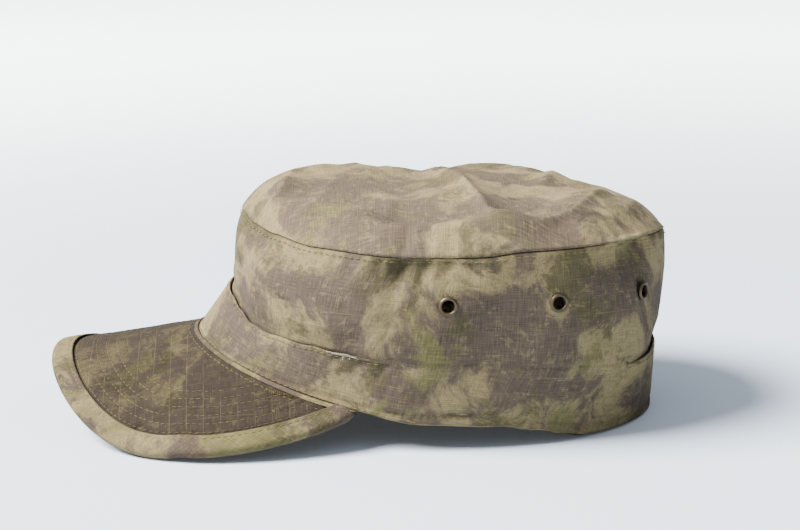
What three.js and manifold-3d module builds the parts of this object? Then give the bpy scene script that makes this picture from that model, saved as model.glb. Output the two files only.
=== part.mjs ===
// A patrol cap of ripstop cloth, lying on a table on its peak and the back of its rim.
// Millimetres, +Z up. The peak points to -Y and the wearer's left is +X.
import * as THREE from 'three';
import { mergeVertices } from 'three/addons/utils/BufferGeometryUtils.js';
import Module from 'manifold-3d';

const wasm = await Module();
wasm.setup();

// Cloth
const clothWall = 1.4; // one sewn cloth wall
const rimBandWall = 1.6; // the folded band inside the rim
const sewnGap = 0.35; // free space between two sewn pieces

// Plan ovals at three heights: the rim, the tuck line above the bands, and the top seam
const rimLength = 217;
const rimWidth = 156;
const tuckLength = 203;
const tuckWidth = 160;
const tuckSetBack = 8;
const seamLength = 199;
const seamWidth = 163;
const seamSetBack = 13.5;
const rimSquareness = 2.0;
const tuckSquareness = 2.35;
const seamSquareness = 2.08;

// Heights above the table
const seamHeight = 89;
const bandHeight = 30;
const rimLift = 15; // rim height at the corners of the peak
const rimBandShow = 1.2; // how far the rim band shows under the side wall
const rimBandHeight = 18;

// Crown
const domeHeight = 21.5;
const domeLean = 0.2; // how much higher the dome stands in front than behind
const wallBulge = 4;
const wallFoldDepth = 3;
const topFoldHeight = 4;

// Peak
const peakReach = 70.5; // from the joint to the front edge
const peakFlare = 17.5; // how far the peak stands out beyond each corner
const peakCornerAngle = 74.5; // where the peak leaves the rim, from the front
const peakWidestBack = 86; // from the front edge back to the widest line
const peakDrop = 37; // how far the arch falls from the middle to the sides
const peakSlope = 0.138; // fall of the middle towards the front edge
const peakHollow = 0.0014; // how the slope eases towards the corners
const peakSquareness = 1.93; // 2 is an oval front edge, more is squarer
const peakNoseArch = 0.5; // how much more the peak is arched at its front edge
const peakBoard = 3.0; // board with its cloth on both faces
const bindingWidth = 8.6; // at the front of the peak
const bindingSideWidth = 8; // towards the corners
const bindingCloth = 1.0;
const bindingSpace = 0.5; // from the board to the binding
const weltWidth = 2.0;
const weltHeight = 1.3;

// Eyelets, three on each side
const eyeletFlange = 8.6; // outside diameter
const eyeletHole = 5.4;
const eyeletBarrelWall = 0.6;
const eyeletFlangeThickness = 0.7;
const eyeletAngles = [89, 114.3, 145];
const eyeletLevel = 0.58; // share of the wall from the tuck line up to the seam

// Bands: how far they reach round from the front and from the back
const frontBandReach = 76.5;
const backBandReach = 36;
const bandEnd = 4; // angle in which the side wall comes out again past a band

// Shares of a named height, by angle from the front
const rimHeights = [
  { angle: 73, share: 1.0 },
  { angle: 80, share: 0.88 },
  { angle: 90, share: 0.77 },
  { angle: 107, share: 0.65 },
  { angle: 117, share: 0.42 },
  { angle: 124, share: 0.2 },
  { angle: 131, share: 0.04 },
  { angle: 138, share: 0 },
];
const tuckHeights = [
  { angle: 0, share: 2.03 },
  { angle: 16, share: 1.99 },
  { angle: 25, share: 1.85 },
  { angle: 33, share: 1.7 },
  { angle: 43, share: 1.62 },
  { angle: 57, share: 1.54 },
  { angle: 66, share: 1.47 },
  { angle: 76, share: 1.38 },
  { angle: 92, share: 1.3 },
  { angle: 118, share: 1.18 },
  { angle: 145, share: 1.07 },
  { angle: 180, share: 1.12 },
];
const seamHeights = [
  { angle: 0, share: 1.1 },
  { angle: 14, share: 1.1 },
  { angle: 24, share: 1.07 },
  { angle: 36, share: 1.045 },
  { angle: 52, share: 1.01 },
  { angle: 76, share: 0.988 },
  { angle: 95, share: 0.99 },
  { angle: 106, share: 1.01 },
  { angle: 145, share: 1.015 },
  { angle: 162, share: 1.005 },
  { angle: 180, share: 0.965 },
];

// How the wall swells between the tuck line and the seam, as shares of wallBulge
const bulges = [
  { angle: 0, high: 0.35, low: -0.45 },
  { angle: 20, high: 0.8, low: -0.2 },
  { angle: 36, high: 1.1, low: 0.25 },
  { angle: 60, high: 0.7, low: 0.45 },
  { angle: 90, high: 0.45, low: 0.5 },
  { angle: 130, high: 0.55, low: 0.5 },
  { angle: 160, high: 0.3, low: 0.35 },
  { angle: 180, high: 0.1, low: 0.1 },
];

// Folds of the side wall. Angles run from the front round by the wearer's left, and level from
// the rim up to the seam. Lean turns the fold as it rises; depth is a share of wallFoldDepth.
const wallFolds = [
  { angle: 138, level: 0.9, spread: 6, rise: 0.12, lean: 10, depth: 1.2 },
  { angle: 128, level: 0.91, spread: 4, rise: 0.1, lean: -20, depth: 0.5 },
  { angle: 76, level: 0.9, spread: 4, rise: 0.1, lean: 8, depth: 0.5 },
  { angle: 87, level: 0.92, spread: 4, rise: 0.08, lean: 14, depth: 0.4 },
  { angle: 101, level: 0.5, spread: 7, rise: 0.26, lean: 32, depth: 0.75 },
  { angle: 92, level: 0.48, spread: 6, rise: 0.26, lean: 32, depth: -0.5 },
  { angle: 60, level: 0.72, spread: 9, rise: 0.22, lean: -24, depth: 0.35 },
  { angle: 24, level: 0.7, spread: 7, rise: 0.25, lean: 6, depth: 0.4 },
  { angle: 160, level: 0.6, spread: 8, rise: 0.24, lean: -30, depth: 0.4 },
  { angle: 196, level: 0.78, spread: 7, rise: 0.2, lean: 18, depth: 0.6 },
  { angle: 226, level: 0.86, spread: 7, rise: 0.15, lean: -10, depth: 0.9 },
  { angle: 252, level: 0.6, spread: 8, rise: 0.26, lean: -34, depth: 0.7 },
  { angle: 262, level: 0.58, spread: 7, rise: 0.24, lean: -34, depth: -0.4 },
  { angle: 281, level: 0.9, spread: 5, rise: 0.1, lean: 0, depth: 0.5 },
  { angle: 312, level: 0.8, spread: 8, rise: 0.2, lean: 16, depth: 0.5 },
  { angle: 340, level: 0.66, spread: 7, rise: 0.24, lean: -8, depth: 0.35 },
];

// Folds of the top, each a straight ridge in plan from one end to the other. Places are shares
// of the seam oval's half width and half length, width a share of its half width, and height a
// share of topFoldHeight.
const topFolds = [
  { fromX: -0.3, fromY: -0.05, toX: 0.92, toY: 0.22, width: 0.1, height: 0.8 },
  { fromX: 0.12, fromY: 0.73, toX: 0.93, toY: 0.27, width: 0.09, height: 0.75 },
  { fromX: 0.25, fromY: 0.84, toX: 0.72, toY: 0.55, width: 0.07, height: 0.5 },
  { fromX: 0.02, fromY: 0.28, toX: 0.7, toY: 0.42, width: 0.2, height: -0.9 },
  { fromX: -0.8, fromY: -0.14, toX: -0.15, toY: -0.1, width: 0.2, height: -0.6 },
  { fromX: 0.75, fromY: -0.3, toX: 0.15, toY: -0.25, width: 0.24, height: -0.75 },
  { fromX: 0.2, fromY: -0.84, toX: 0.36, toY: -0.9, width: 0.1, height: 0.5 },
  { fromX: 0.5, fromY: -0.72, toX: 0.16, toY: -0.6, width: 0.18, height: -0.45 },
  { fromX: -0.88, fromY: 0.2, toX: -0.3, toY: 0.5, width: 0.1, height: 0.6 },
  { fromX: -0.55, fromY: 0.7, toX: 0.1, toY: 0.78, width: 0.18, height: -0.5 },
  { fromX: -0.72, fromY: -0.5, toX: -0.2, toY: -0.62, width: 0.12, height: 0.5 },
];

// Mesh density
const wallSections = 80;
const topSections = 56;
const peakSections = 42;
const bindingSections = 42;
const eyeletSides = 12;

const radians = THREE.MathUtils.degToRad;
const smooth = (value) => THREE.MathUtils.smoothstep(value, 0, 1);

const turnFromFront = (angle) => Math.abs(((angle + 180) % 360 + 360) % 360 - 180);

// Smooth value of a table's column at an angle from the front, the same on both sides
function fromTable(table, angle, column = 'share') {
  const turn = turnFromFront(angle);
  if (turn <= table[0].angle) return table[0][column];
  for (let i = 1; i < table.length; i++) {
    if (turn <= table[i].angle) {
      const part = (turn - table[i - 1].angle) / (table[i].angle - table[i - 1].angle);
      return THREE.MathUtils.lerp(table[i - 1][column], table[i][column], smooth(part));
    }
  }
  return table[table.length - 1][column];
}

// A point of a plan oval, at an angle from the front
function oval(angle, length, width, setBack, squareness) {
  const across = Math.sin(radians(angle));
  const along = Math.cos(radians(angle));
  const power = 2 / squareness;
  return new THREE.Vector2(
    (width / 2) * Math.sign(across) * Math.abs(across) ** power,
    setBack - (length / 2) * Math.sign(along) * Math.abs(along) ** power,
  );
}
const rimPlan = (angle) => oval(angle, rimLength, rimWidth, 0, rimSquareness);
const tuckPlan = (angle) => oval(angle, tuckLength, tuckWidth, tuckSetBack, tuckSquareness);
const seamPlan = (angle) => oval(angle, seamLength, seamWidth, seamSetBack, seamSquareness);

// The level direction that points out of the wall
function outward(angle) {
  const step = 0.5;
  const along = tuckPlan(angle + step).sub(tuckPlan(angle - step));
  return new THREE.Vector3(along.y, -along.x, 0).normalize();
}

// The peak's top face: arched across and sloping down to the front edge
const peakCorner = rimPlan(peakCornerAngle);
const peakHalfWidth = peakCorner.x + peakFlare;
const peakWidestY = -rimLength / 2 - peakReach + peakWidestBack;
function peakForm(x, y) {
  const back = y + rimLength / 2;
  const ease = back > 0 ? peakHollow * back * back : 0;
  const nose = 1 + peakNoseArch * Math.max(-back / peakReach, 0);
  return peakSlope * back - ease - peakDrop * nose * (x / peakHalfWidth) ** 2;
}

// The outline of the peak's board: a squarish half oval to the front and part of a plain oval
// back to each corner
const rearLength = (peakCorner.y - peakWidestY) / Math.sqrt(1 - (peakCorner.x / peakHalfWidth) ** 2);
const cornerTurn = THREE.MathUtils.radToDeg(
  Math.asin((peakCorner.y - peakWidestY) / rearLength),
);
const bindingOverhang = bindingCloth + bindingSpace;
function peakOutline(share) {
  const turn = radians(THREE.MathUtils.lerp(-90 - cornerTurn, 90 + cornerTurn, share));
  const along = Math.cos(turn);
  const across = Math.sin(turn);
  const power = along > 0 ? 2 / peakSquareness : 1;
  const length = along > 0 ? peakWidestBack : rearLength;
  return new THREE.Vector2(
    (peakHalfWidth - bindingOverhang) * Math.sign(across) * Math.abs(across) ** power,
    peakWidestY - (length - bindingOverhang) * Math.sign(along) * Math.abs(along) ** power,
  );
}

// The joint's height follows from the sides of the peak lying on the table
let peakLowest = Infinity;
for (let i = 0; i <= peakSections; i++) {
  const place = peakOutline(i / peakSections);
  peakLowest = Math.min(peakLowest, peakForm(place.x, place.y));
}
const peakEdgeUnder = 3.75; // from the top of the board's edge down to the binding's lowest line
const jointHeight = peakEdgeUnder - peakLowest;
const peakTop = (x, y) => jointHeight + peakForm(x, y);
function peakNormal(x, y) {
  const step = 0.1;
  return new THREE.Vector3(
    (peakTop(x - step, y) - peakTop(x + step, y)) / (2 * step),
    (peakTop(x, y - step) - peakTop(x, y + step)) / (2 * step),
    1,
  ).normalize();
}
function onPeak(x, y, height) {
  return new THREE.Vector3(x, y, peakTop(x, y)).addScaledVector(peakNormal(x, y), height);
}

// Heights of the rim, the tuck line and the seam at an angle
function rimHeight(angle) {
  return rimBandShow + rimLift * fromTable(rimHeights, angle);
}
const tuckHeight = (angle) => bandHeight * fromTable(tuckHeights, angle);
const seamLevel = (angle) => seamHeight * fromTable(seamHeights, angle);

// Fold depth of the wall at an angle and a level
function wallFold(angle, level) {
  const turn = ((angle % 360) + 360) % 360;
  let depth = 0;
  for (const fold of wallFolds) {
    let aside = turn - fold.angle - fold.lean * (level - fold.level);
    if (aside > 180) aside -= 360;
    if (aside < -180) aside += 360;
    const shape = (aside / fold.spread) ** 2 + ((level - fold.level) / fold.rise) ** 2;
    depth += fold.depth * Math.exp(-shape);
  }
  return depth * wallFoldDepth * smooth((1 - level) / 0.06) * smooth((level - 0.02) / 0.2);
}

// How much of the wall at an angle lies behind a band
function behindBand(angle) {
  const turn = turnFromFront(angle);
  const front = 1 - smooth((turn - frontBandReach) / bandEnd);
  const back = 1 - smooth((180 - backBandReach - turn) / bandEnd);
  return Math.max(front, back);
}
const bandSpace = clothWall + sewnGap;

// The cap's outer face. Levels 0 to 1 run from the rim to the tuck line, 1 to 2 from there to
// the seam. Inset moves the point into the cap, level with the table.
function wallPoint(angle, level, inset) {
  const rim = rimPlan(angle);
  const tuck = tuckPlan(angle);
  const seam = seamPlan(angle);
  const out = outward(angle);
  const tuckZ = tuckHeight(angle);
  const seamZ = seamLevel(angle);
  const point = new THREE.Vector3();
  const footX = rim.x - out.x * inset;
  const footY = rim.y - out.y * inset;
  const offBoard = smooth((turnFromFront(angle) - peakCornerAngle - 2) / 7);
  const rimZ = THREE.MathUtils.lerp(peakTop(footX, footY) + sewnGap, rimHeight(angle), offBoard);
  if (level <= 1) {
    point.lerpVectors(
      new THREE.Vector3(rim.x, rim.y, rimZ),
      new THREE.Vector3(tuck.x, tuck.y, tuckZ),
      level,
    );
  } else {
    const rise = level - 1;
    point.lerpVectors(
      new THREE.Vector3(tuck.x, tuck.y, tuckZ),
      new THREE.Vector3(seam.x, seam.y, seamZ),
      rise,
    );
    const high = fromTable(bulges, angle, 'high') * Math.sin(Math.PI * rise ** 1.7);
    const low = fromTable(bulges, angle, 'low') * Math.sin(Math.PI * rise ** 0.7);
    point.addScaledVector(out, wallBulge * (high + low));
  }
  const height = (point.z - rimZ) / (seamZ - rimZ);
  return point.addScaledVector(out, -wallFold(angle, height) - inset);
}

// How far the side wall stands in behind the bands
function wallInset(angle, level) {
  const above = level <= 1 ? 1 : 1 - smooth((level - 1.04) / 0.16);
  return bandSpace * behindBand(angle) * above;
}

// The domed top's outer face: its height above the table over a place in plan
function topHeight(x, y) {
  const across = x / (seamWidth / 2);
  const along = (y - seamSetBack) / (seamLength / 2);
  const half = seamSquareness / 2;
  const acrossPart = Math.sign(across) * Math.abs(across) ** half;
  const alongPart = Math.sign(along) * Math.abs(along) ** half;
  const out = Math.min(Math.hypot(acrossPart, alongPart) ** (1 / half), 1);
  const angle = THREE.MathUtils.radToDeg(Math.atan2(acrossPart, -alongPart));
  const dome = 0.36 * (1 - out ** 2) + 0.2 * (1 - out ** 4) + 0.44 * (1 - out ** 11);
  let fold = 0;
  for (const line of topFolds) {
    const span = new THREE.Vector2(line.toX - line.fromX, line.toY - line.fromY);
    const from = new THREE.Vector2(across - line.fromX, along - line.fromY);
    const place = THREE.MathUtils.clamp(from.dot(span) / span.lengthSq(), 0, 1);
    const away = from.addScaledVector(span, -place).length() / line.width;
    fold += line.height * Math.exp(-(away ** 2));
  }
  const edge = THREE.MathUtils.lerp(seamHeight, seamLevel(angle), out ** 2);
  const lean = 1 - domeLean * along;
  return edge + sewnGap + domeHeight * dome * lean + topFoldHeight * fold * smooth((1 - out) / 0.14);
}

// A point of the top by angle and share of the way out to the seam, at a depth in the cloth
function topPoint(angle, out, depth) {
  const edge = seamPlan(angle);
  const x = edge.x * out;
  const y = seamSetBack + (edge.y - seamSetBack) * out;
  const point = new THREE.Vector3(x, y, topHeight(x, y));
  if (depth > 0) {
    const step = 0.3;
    const inX = x * (1 - step / seamWidth);
    const inY = seamSetBack + (y - seamSetBack) * (1 - step / seamWidth);
    const normal = new THREE.Vector3(
      (topHeight(inX - step, inY) - topHeight(inX + step, inY)) / (2 * step),
      (topHeight(inX, inY - step) - topHeight(inX, inY + step)) / (2 * step),
      1,
    ).normalize();
    point.addScaledVector(normal, -depth);
    point.z = Math.max(point.z, seamLevel(angle) + sewnGap);
  }
  return point;
}

// Turns a grid of points into one closed body. Rows are section loops or profiles.
function body(rows, { ringed = false, looped = true, profile = null } = {}) {
  const positions = [];
  const index = [];
  const count = rows[0].length;
  rows.forEach((row) => row.forEach((point) => positions.push(point.x, point.y, point.z)));
  const lastRow = ringed ? rows.length : rows.length - 1;
  const lastStep = looped ? count : count - 1;
  for (let i = 0; i < lastRow; i++) {
    for (let j = 0; j < lastStep; j++) {
      const a = i * count + j;
      const b = i * count + ((j + 1) % count);
      const c = ((i + 1) % rows.length) * count + j;
      const d = ((i + 1) % rows.length) * count + ((j + 1) % count);
      index.push(a, b, c, b, d, c);
    }
  }
  if (profile) {
    const start = (rows.length - 1) * count;
    const sameTurn = THREE.ShapeUtils.area(profile) > 0;
    for (const [a, b, c] of THREE.ShapeUtils.triangulateShape(profile, [])) {
      const turn = THREE.ShapeUtils.area([profile[a], profile[b], profile[c]]) > 0;
      const [p, q] = turn === sameTurn ? [b, c] : [c, b];
      index.push(a, q, p, start + a, start + p, start + q);
    }
  }
  return closed(positions, index);
}

// Merges shared points, drops empty triangles and turns the faces outwards
function closed(positions, index) {
  let geometry = new THREE.BufferGeometry();
  geometry.setAttribute('position', new THREE.Float32BufferAttribute(positions, 3));
  geometry.setIndex(index);
  geometry = mergeVertices(geometry, 1e-4);
  const place = geometry.getAttribute('position');
  const corner = [new THREE.Vector3(), new THREE.Vector3(), new THREE.Vector3()];
  const kept = [];
  let volume = 0;
  for (let i = 0; i < geometry.index.count; i += 3) {
    const face = [0, 1, 2].map((k) => geometry.index.getX(i + k));
    if (new Set(face).size < 3) continue;
    face.forEach((vertex, k) => corner[k].fromBufferAttribute(place, vertex));
    volume += corner[0].dot(corner[1].clone().cross(corner[2]));
    kept.push(face);
  }
  geometry.setIndex(kept.flatMap(([a, b, c]) => (volume < 0 ? [a, c, b] : [a, b, c])));
  return geometry;
}

function toManifold(geometry) {
  const bare = new THREE.BufferGeometry();
  bare.setAttribute('position', geometry.getAttribute('position'));
  bare.setIndex(geometry.index);
  const merged = mergeVertices(bare, 1e-4);
  return new wasm.Manifold(new wasm.Mesh({
    numProp: 3,
    vertProperties: new Float32Array(merged.getAttribute('position').array),
    triVerts: new Uint32Array(merged.index.array),
  }));
}

function fromManifold(solid) {
  const mesh = solid.getMesh();
  const geometry = new THREE.BufferGeometry();
  geometry.setAttribute('position', new THREE.BufferAttribute(mesh.vertProperties, 3));
  geometry.setIndex(new THREE.BufferAttribute(mesh.triVerts, 1));
  return geometry;
}

const cloth = new THREE.MeshStandardMaterial({ color: 0x8b8068, roughness: 0.95, metalness: 0 });
const bandCloth = new THREE.MeshStandardMaterial({ color: 0x958a6b, roughness: 0.95, metalness: 0 });
const peakCloth = new THREE.MeshStandardMaterial({ color: 0x83775f, roughness: 0.95, metalness: 0 });
const bindingMaterial = new THREE.MeshStandardMaterial({ color: 0x8f8560, roughness: 0.95, metalness: 0 });
const eyeletMetal = new THREE.MeshStandardMaterial({ color: 0x5c4f35, roughness: 0.5, metalness: 0.7 });

const cap = new THREE.Group();
function add(name, geometry, material) {
  const mesh = new THREE.Mesh(geometry, material);
  mesh.name = name;
  cap.add(mesh);
  return mesh;
}

const wallLevels = [0, 0.33, 0.66, 1, 1.12, 1.28, 1.46, 1.64, 1.8, 1.92, 2];
const bandLevels = [0, 0.33, 0.66, 1];
const topShares = [0, 0.18, 0.36, 0.52, 0.66, 0.78, 0.87, 0.93, 0.97, 1];

// The place and direction of an eyelet on the wall
function eyeletSeat(angle) {
  const level = 1 + eyeletLevel;
  const step = 2;
  const place = wallPoint(angle, level, 0);
  const aside = wallPoint(angle + step, level, 0).sub(wallPoint(angle - step, level, 0));
  const upward = wallPoint(angle, level + step / 60, 0).sub(wallPoint(angle, level - step / 60, 0));
  const normal = new THREE.Vector3().crossVectors(aside, upward).normalize();
  if (normal.dot(outward(angle)) < 0) normal.negate();
  return { place, turn: new THREE.Quaternion().setFromUnitVectors(new THREE.Vector3(0, 1, 0), normal) };
}
const eyeletPlaces = eyeletAngles.flatMap((angle, i) => [
  { name: `eyelet_left_${i + 1}`, ...eyeletSeat(angle) },
  { name: `eyelet_right_${i + 1}`, ...eyeletSeat(360 - angle) },
]);

// Side wall: one closed ring of cloth with a round hole for each eyelet
function sideWall() {
  const rows = [];
  for (let i = 0; i < wallSections; i++) {
    const angle = (360 * i) / wallSections;
    const outer = wallLevels.map((level) => wallPoint(angle, level, wallInset(angle, level)));
    const inner = wallLevels.map((level) => wallPoint(angle, level, wallInset(angle, level) + clothWall));
    rows.push([...outer, ...inner.reverse()]);
  }
  let solid = toManifold(body(rows, { ringed: true }));
  const radius = eyeletHole / 2 + eyeletBarrelWall + sewnGap;
  for (const eyelet of eyeletPlaces) {
    const punch = new THREE.CylinderGeometry(radius, radius, 4 * clothWall + 4, eyeletSides);
    punch.applyQuaternion(eyelet.turn);
    punch.translate(eyelet.place.x, eyelet.place.y, eyelet.place.z);
    punch.deleteAttribute('normal');
    punch.deleteAttribute('uv');
    solid = solid.subtract(toManifold(punch));
  }
  return fromManifold(solid);
}

// Top: a domed disc of cloth
function crownTop() {
  const rows = [];
  for (let i = 0; i < topSections; i++) {
    const angle = (360 * i) / topSections;
    const outer = topShares.map((out) => topPoint(angle, out, 0));
    const inner = topShares.map((out) => topPoint(angle, out, clothWall));
    rows.push([...outer, ...inner.reverse()]);
  }
  return body(rows, { ringed: true, looped: false });
}

// A band of cloth over the lower wall, from one angle to another
function band(from, to, sections) {
  const rows = [];
  const steps = bandLevels.length;
  for (let i = 0; i <= sections; i++) {
    const angle = THREE.MathUtils.lerp(from, to, i / sections);
    const outer = bandLevels.map((level) => wallPoint(angle, level, 0));
    const inner = bandLevels.map((level) => wallPoint(angle, level, clothWall));
    rows.push([...outer, ...inner.reverse()]);
  }
  const profile = [];
  for (let k = 0; k < steps; k++) profile.push(new THREE.Vector2(1, k));
  for (let k = steps - 1; k >= 0; k--) profile.push(new THREE.Vector2(0, k));
  return body(rows, { profile });
}

// The folded band inside the rim, whose lower edge shows under the side wall
function rimBand() {
  const rows = [];
  for (let i = 0; i < wallSections; i++) {
    const angle = (360 * i) / wallSections;
    const show = rimBandShow * smooth((turnFromFront(angle) - peakCornerAngle - 3) / 6);
    const behind = wallInset(angle, 0) + clothWall + sewnGap;
    const top = rimBandHeight / (tuckHeight(angle) - rimHeight(angle));
    const levels = [0, Math.min(top, 1) / 2, Math.min(top, 1)];
    const outer = levels.map((level) => wallPoint(angle, level, behind));
    const inner = levels.map((level) => wallPoint(angle, level, behind + rimBandWall));
    outer[0].z -= show;
    inner[0].z -= show;
    rows.push([...outer, ...inner.reverse()]);
  }
  return body(rows, { ringed: true });
}

// The peak's board with its cloth, from under the rim out to its edge
function peak() {
  const tuckedIn = bandSpace + clothWall + sewnGap + rimBandWall;
  const depthShares = [0, 0.08, 0.36, 0.64, 0.87, 1];
  const rows = [];
  for (let i = 0; i <= peakSections; i++) {
    const share = i / peakSections;
    const angle = THREE.MathUtils.lerp(-peakCornerAngle, peakCornerAngle, share);
    const out = outward(angle);
    const root = rimPlan(angle);
    const edge = peakOutline(share);
    const line = depthShares.map((part) => new THREE.Vector2(
      THREE.MathUtils.lerp(root.x - out.x * tuckedIn, edge.x, part),
      THREE.MathUtils.lerp(root.y - out.y * tuckedIn, edge.y, part),
    ));
    const top = line.map((place) => onPeak(place.x, place.y, 0));
    const under = line.map((place) => onPeak(place.x, place.y, -peakBoard));
    rows.push([...top, ...under.reverse()]);
  }
  const profile = [];
  depthShares.forEach((part) => profile.push(new THREE.Vector2(part, 1)));
  depthShares.slice().reverse().forEach((part) => profile.push(new THREE.Vector2(part, 0)));
  return body(rows, { profile });
}

// Solid that keeps the binding clear of the rim and its welt
function rimKeepOut(clearance) {
  const outline = new THREE.Shape();
  for (let i = 0; i <= wallSections; i++) {
    const angle = (360 * (i % wallSections)) / wallSections;
    const place = rimPlan(angle);
    const out = outward(angle);
    const x = place.x + out.x * clearance;
    const y = place.y + out.y * clearance;
    if (i === 0) outline.moveTo(x, y);
    else outline.lineTo(x, y);
  }
  const tall = seamHeight;
  const solid = new THREE.ExtrudeGeometry(outline, { depth: 2 * tall, bevelEnabled: false });
  solid.translate(0, 0, -tall);
  solid.deleteAttribute('normal');
  solid.deleteAttribute('uv');
  return toManifold(solid);
}

// The bias binding folded over the peak's edge
function peakBinding() {
  const under = -peakBoard - bindingSpace;
  const turnIn = bindingCloth * 0.8;
  const section = (width) => [
    { inset: width, height: bindingSpace },
    { inset: -bindingSpace, height: bindingSpace },
    { inset: -bindingSpace, height: under },
    { inset: width, height: under },
    { inset: width, height: under - bindingCloth },
    { inset: -bindingSpace, height: under - bindingCloth },
    { inset: -bindingSpace - turnIn, height: under },
    { inset: -bindingSpace - bindingCloth, height: -peakBoard / 2 },
    { inset: -bindingSpace - turnIn, height: bindingSpace },
    { inset: -bindingSpace, height: bindingSpace + bindingCloth },
    { inset: width, height: bindingSpace + bindingCloth },
  ];
  const rows = [];
  for (let i = 0; i <= bindingSections; i++) {
    const share = i / bindingSections;
    const edge = peakOutline(share);
    const ahead = peakOutline(share + 0.002).sub(peakOutline(share - 0.002)).normalize();
    const out = new THREE.Vector2(ahead.y, -ahead.x);
    const fall = peakTop(edge.x + out.x, edge.y + out.y) - peakTop(edge.x, edge.y);
    const lying = 1 / Math.sqrt(1 + fall * fall);
    const aside = Math.abs(2 * share - 1);
    const width = THREE.MathUtils.lerp(bindingWidth, bindingSideWidth, aside ** 2);
    rows.push(section(width).map(({ inset, height }) => {
      const reach = inset * lying;
      return onPeak(edge.x - out.x * reach, edge.y - out.y * reach, height);
    }));
  }
  const profile = section(bindingWidth).map(
    ({ inset, height }) => new THREE.Vector2(inset, height),
  );
  const strip = toManifold(body(rows, { profile }));
  return fromManifold(strip.subtract(rimKeepOut(weltWidth + 2 * sewnGap)));
}

// The narrow raised welt where the front band meets the peak
function jointWelt() {
  const rows = [];
  const section = [
    { out: sewnGap, height: sewnGap },
    { out: sewnGap + weltWidth, height: sewnGap },
    { out: sewnGap + weltWidth, height: sewnGap + weltHeight * 0.6 },
    { out: sewnGap + weltWidth * 0.6, height: sewnGap + weltHeight },
    { out: sewnGap, height: sewnGap + weltHeight },
  ];
  const reach = peakCornerAngle - 2;
  for (let i = 0; i <= peakSections; i++) {
    const angle = THREE.MathUtils.lerp(-reach, reach, i / peakSections);
    const normal = outward(angle);
    const place = rimPlan(angle);
    rows.push(section.map(({ out, height }) => {
      const x = place.x + normal.x * out;
      const y = place.y + normal.y * out;
      return new THREE.Vector3(x, y, peakTop(x, y) + height);
    }));
  }
  const profile = section.map(({ out, height }) => new THREE.Vector2(out, height));
  return body(rows, { profile });
}

// A two-part metal eyelet, clenched through the cloth
function eyelet() {
  const hole = eyeletHole / 2;
  const barrel = hole + eyeletBarrelWall;
  const flange = eyeletFlange / 2;
  const outer = sewnGap;
  const inner = -clothWall - 2 * sewnGap;
  const profile = [
    [hole, inner - eyeletFlangeThickness],
    [flange, inner - eyeletFlangeThickness],
    [flange, inner],
    [barrel, inner],
    [barrel, outer],
    [flange, outer],
    [flange - 0.5 * eyeletFlangeThickness, outer + 0.8 * eyeletFlangeThickness],
    [barrel, outer + eyeletFlangeThickness],
    [hole, outer + 0.3 * eyeletFlangeThickness],
  ].map(([radius, height]) => new THREE.Vector2(radius, height));
  profile.push(profile[0].clone());
  const ring = new THREE.LatheGeometry(profile, eyeletSides);
  ring.deleteAttribute('normal');
  ring.deleteAttribute('uv');
  const merged = mergeVertices(ring, 1e-4);
  return closed(Array.from(merged.getAttribute('position').array), Array.from(merged.index.array));
}

add('crown_top', crownTop(), cloth);
add('side_wall', sideWall(), cloth);
add('front_band', band(-frontBandReach, frontBandReach, 34), bandCloth);
add('back_band', band(180 - backBandReach, 180 + backBandReach, 16), bandCloth);
add('rim_band', rimBand(), bandCloth);
add('peak', peak(), peakCloth);
add('peak_binding', peakBinding(), bindingMaterial);
add('joint_welt', jointWelt(), bandCloth);
for (const { name, place, turn } of eyeletPlaces) {
  const ring = add(name, eyelet(), eyeletMetal);
  ring.position.copy(place);
  ring.quaternion.copy(turn);
}

// Origin on the table, at the middle of the cap's length and width
cap.updateMatrixWorld(true);
const extent = new THREE.Box3().setFromObject(cap, true);
const middle = extent.getCenter(new THREE.Vector3());
cap.position.set(-middle.x, -middle.y, -extent.min.z);
cap.updateMatrixWorld(true);

export default cap;
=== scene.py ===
"""A patrol cap of camouflage ripstop cloth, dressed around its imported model.

Sizes are in millimetres until a place goes into a mesh, and metres from there on. The peak points
to -Y and the wearer's left is +X. Angles run from the front round by the wearer's left.
"""

import math
import random

import bmesh
import bpy
from bpy.props import FloatProperty, FloatVectorProperty, PointerProperty
from mathutils import Matrix, Vector, noise


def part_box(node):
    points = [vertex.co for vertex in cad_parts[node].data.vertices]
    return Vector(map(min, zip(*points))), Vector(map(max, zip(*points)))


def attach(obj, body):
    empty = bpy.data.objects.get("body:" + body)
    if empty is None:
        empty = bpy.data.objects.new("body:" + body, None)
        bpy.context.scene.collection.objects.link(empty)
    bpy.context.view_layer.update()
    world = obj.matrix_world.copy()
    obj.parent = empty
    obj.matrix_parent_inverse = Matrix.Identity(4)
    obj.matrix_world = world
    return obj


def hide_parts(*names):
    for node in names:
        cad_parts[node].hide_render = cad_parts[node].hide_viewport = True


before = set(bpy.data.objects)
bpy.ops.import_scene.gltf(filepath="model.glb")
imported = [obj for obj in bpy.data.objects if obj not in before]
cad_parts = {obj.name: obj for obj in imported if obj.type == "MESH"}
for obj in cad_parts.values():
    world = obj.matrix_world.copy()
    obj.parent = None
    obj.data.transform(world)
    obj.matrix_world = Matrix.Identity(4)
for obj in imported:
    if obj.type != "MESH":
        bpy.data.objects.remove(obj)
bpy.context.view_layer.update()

bl_info = {
    "name": "Patrol cap",
    "version": (1, 0, 0),
    "blender": (4, 5, 0),
    "location": "View3D > Sidebar > Cap",
    "description": "Makes the cloth, peak, eyelets and stitching of a patrol cap",
    "category": "Object",
}

MM = 0.001

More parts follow.
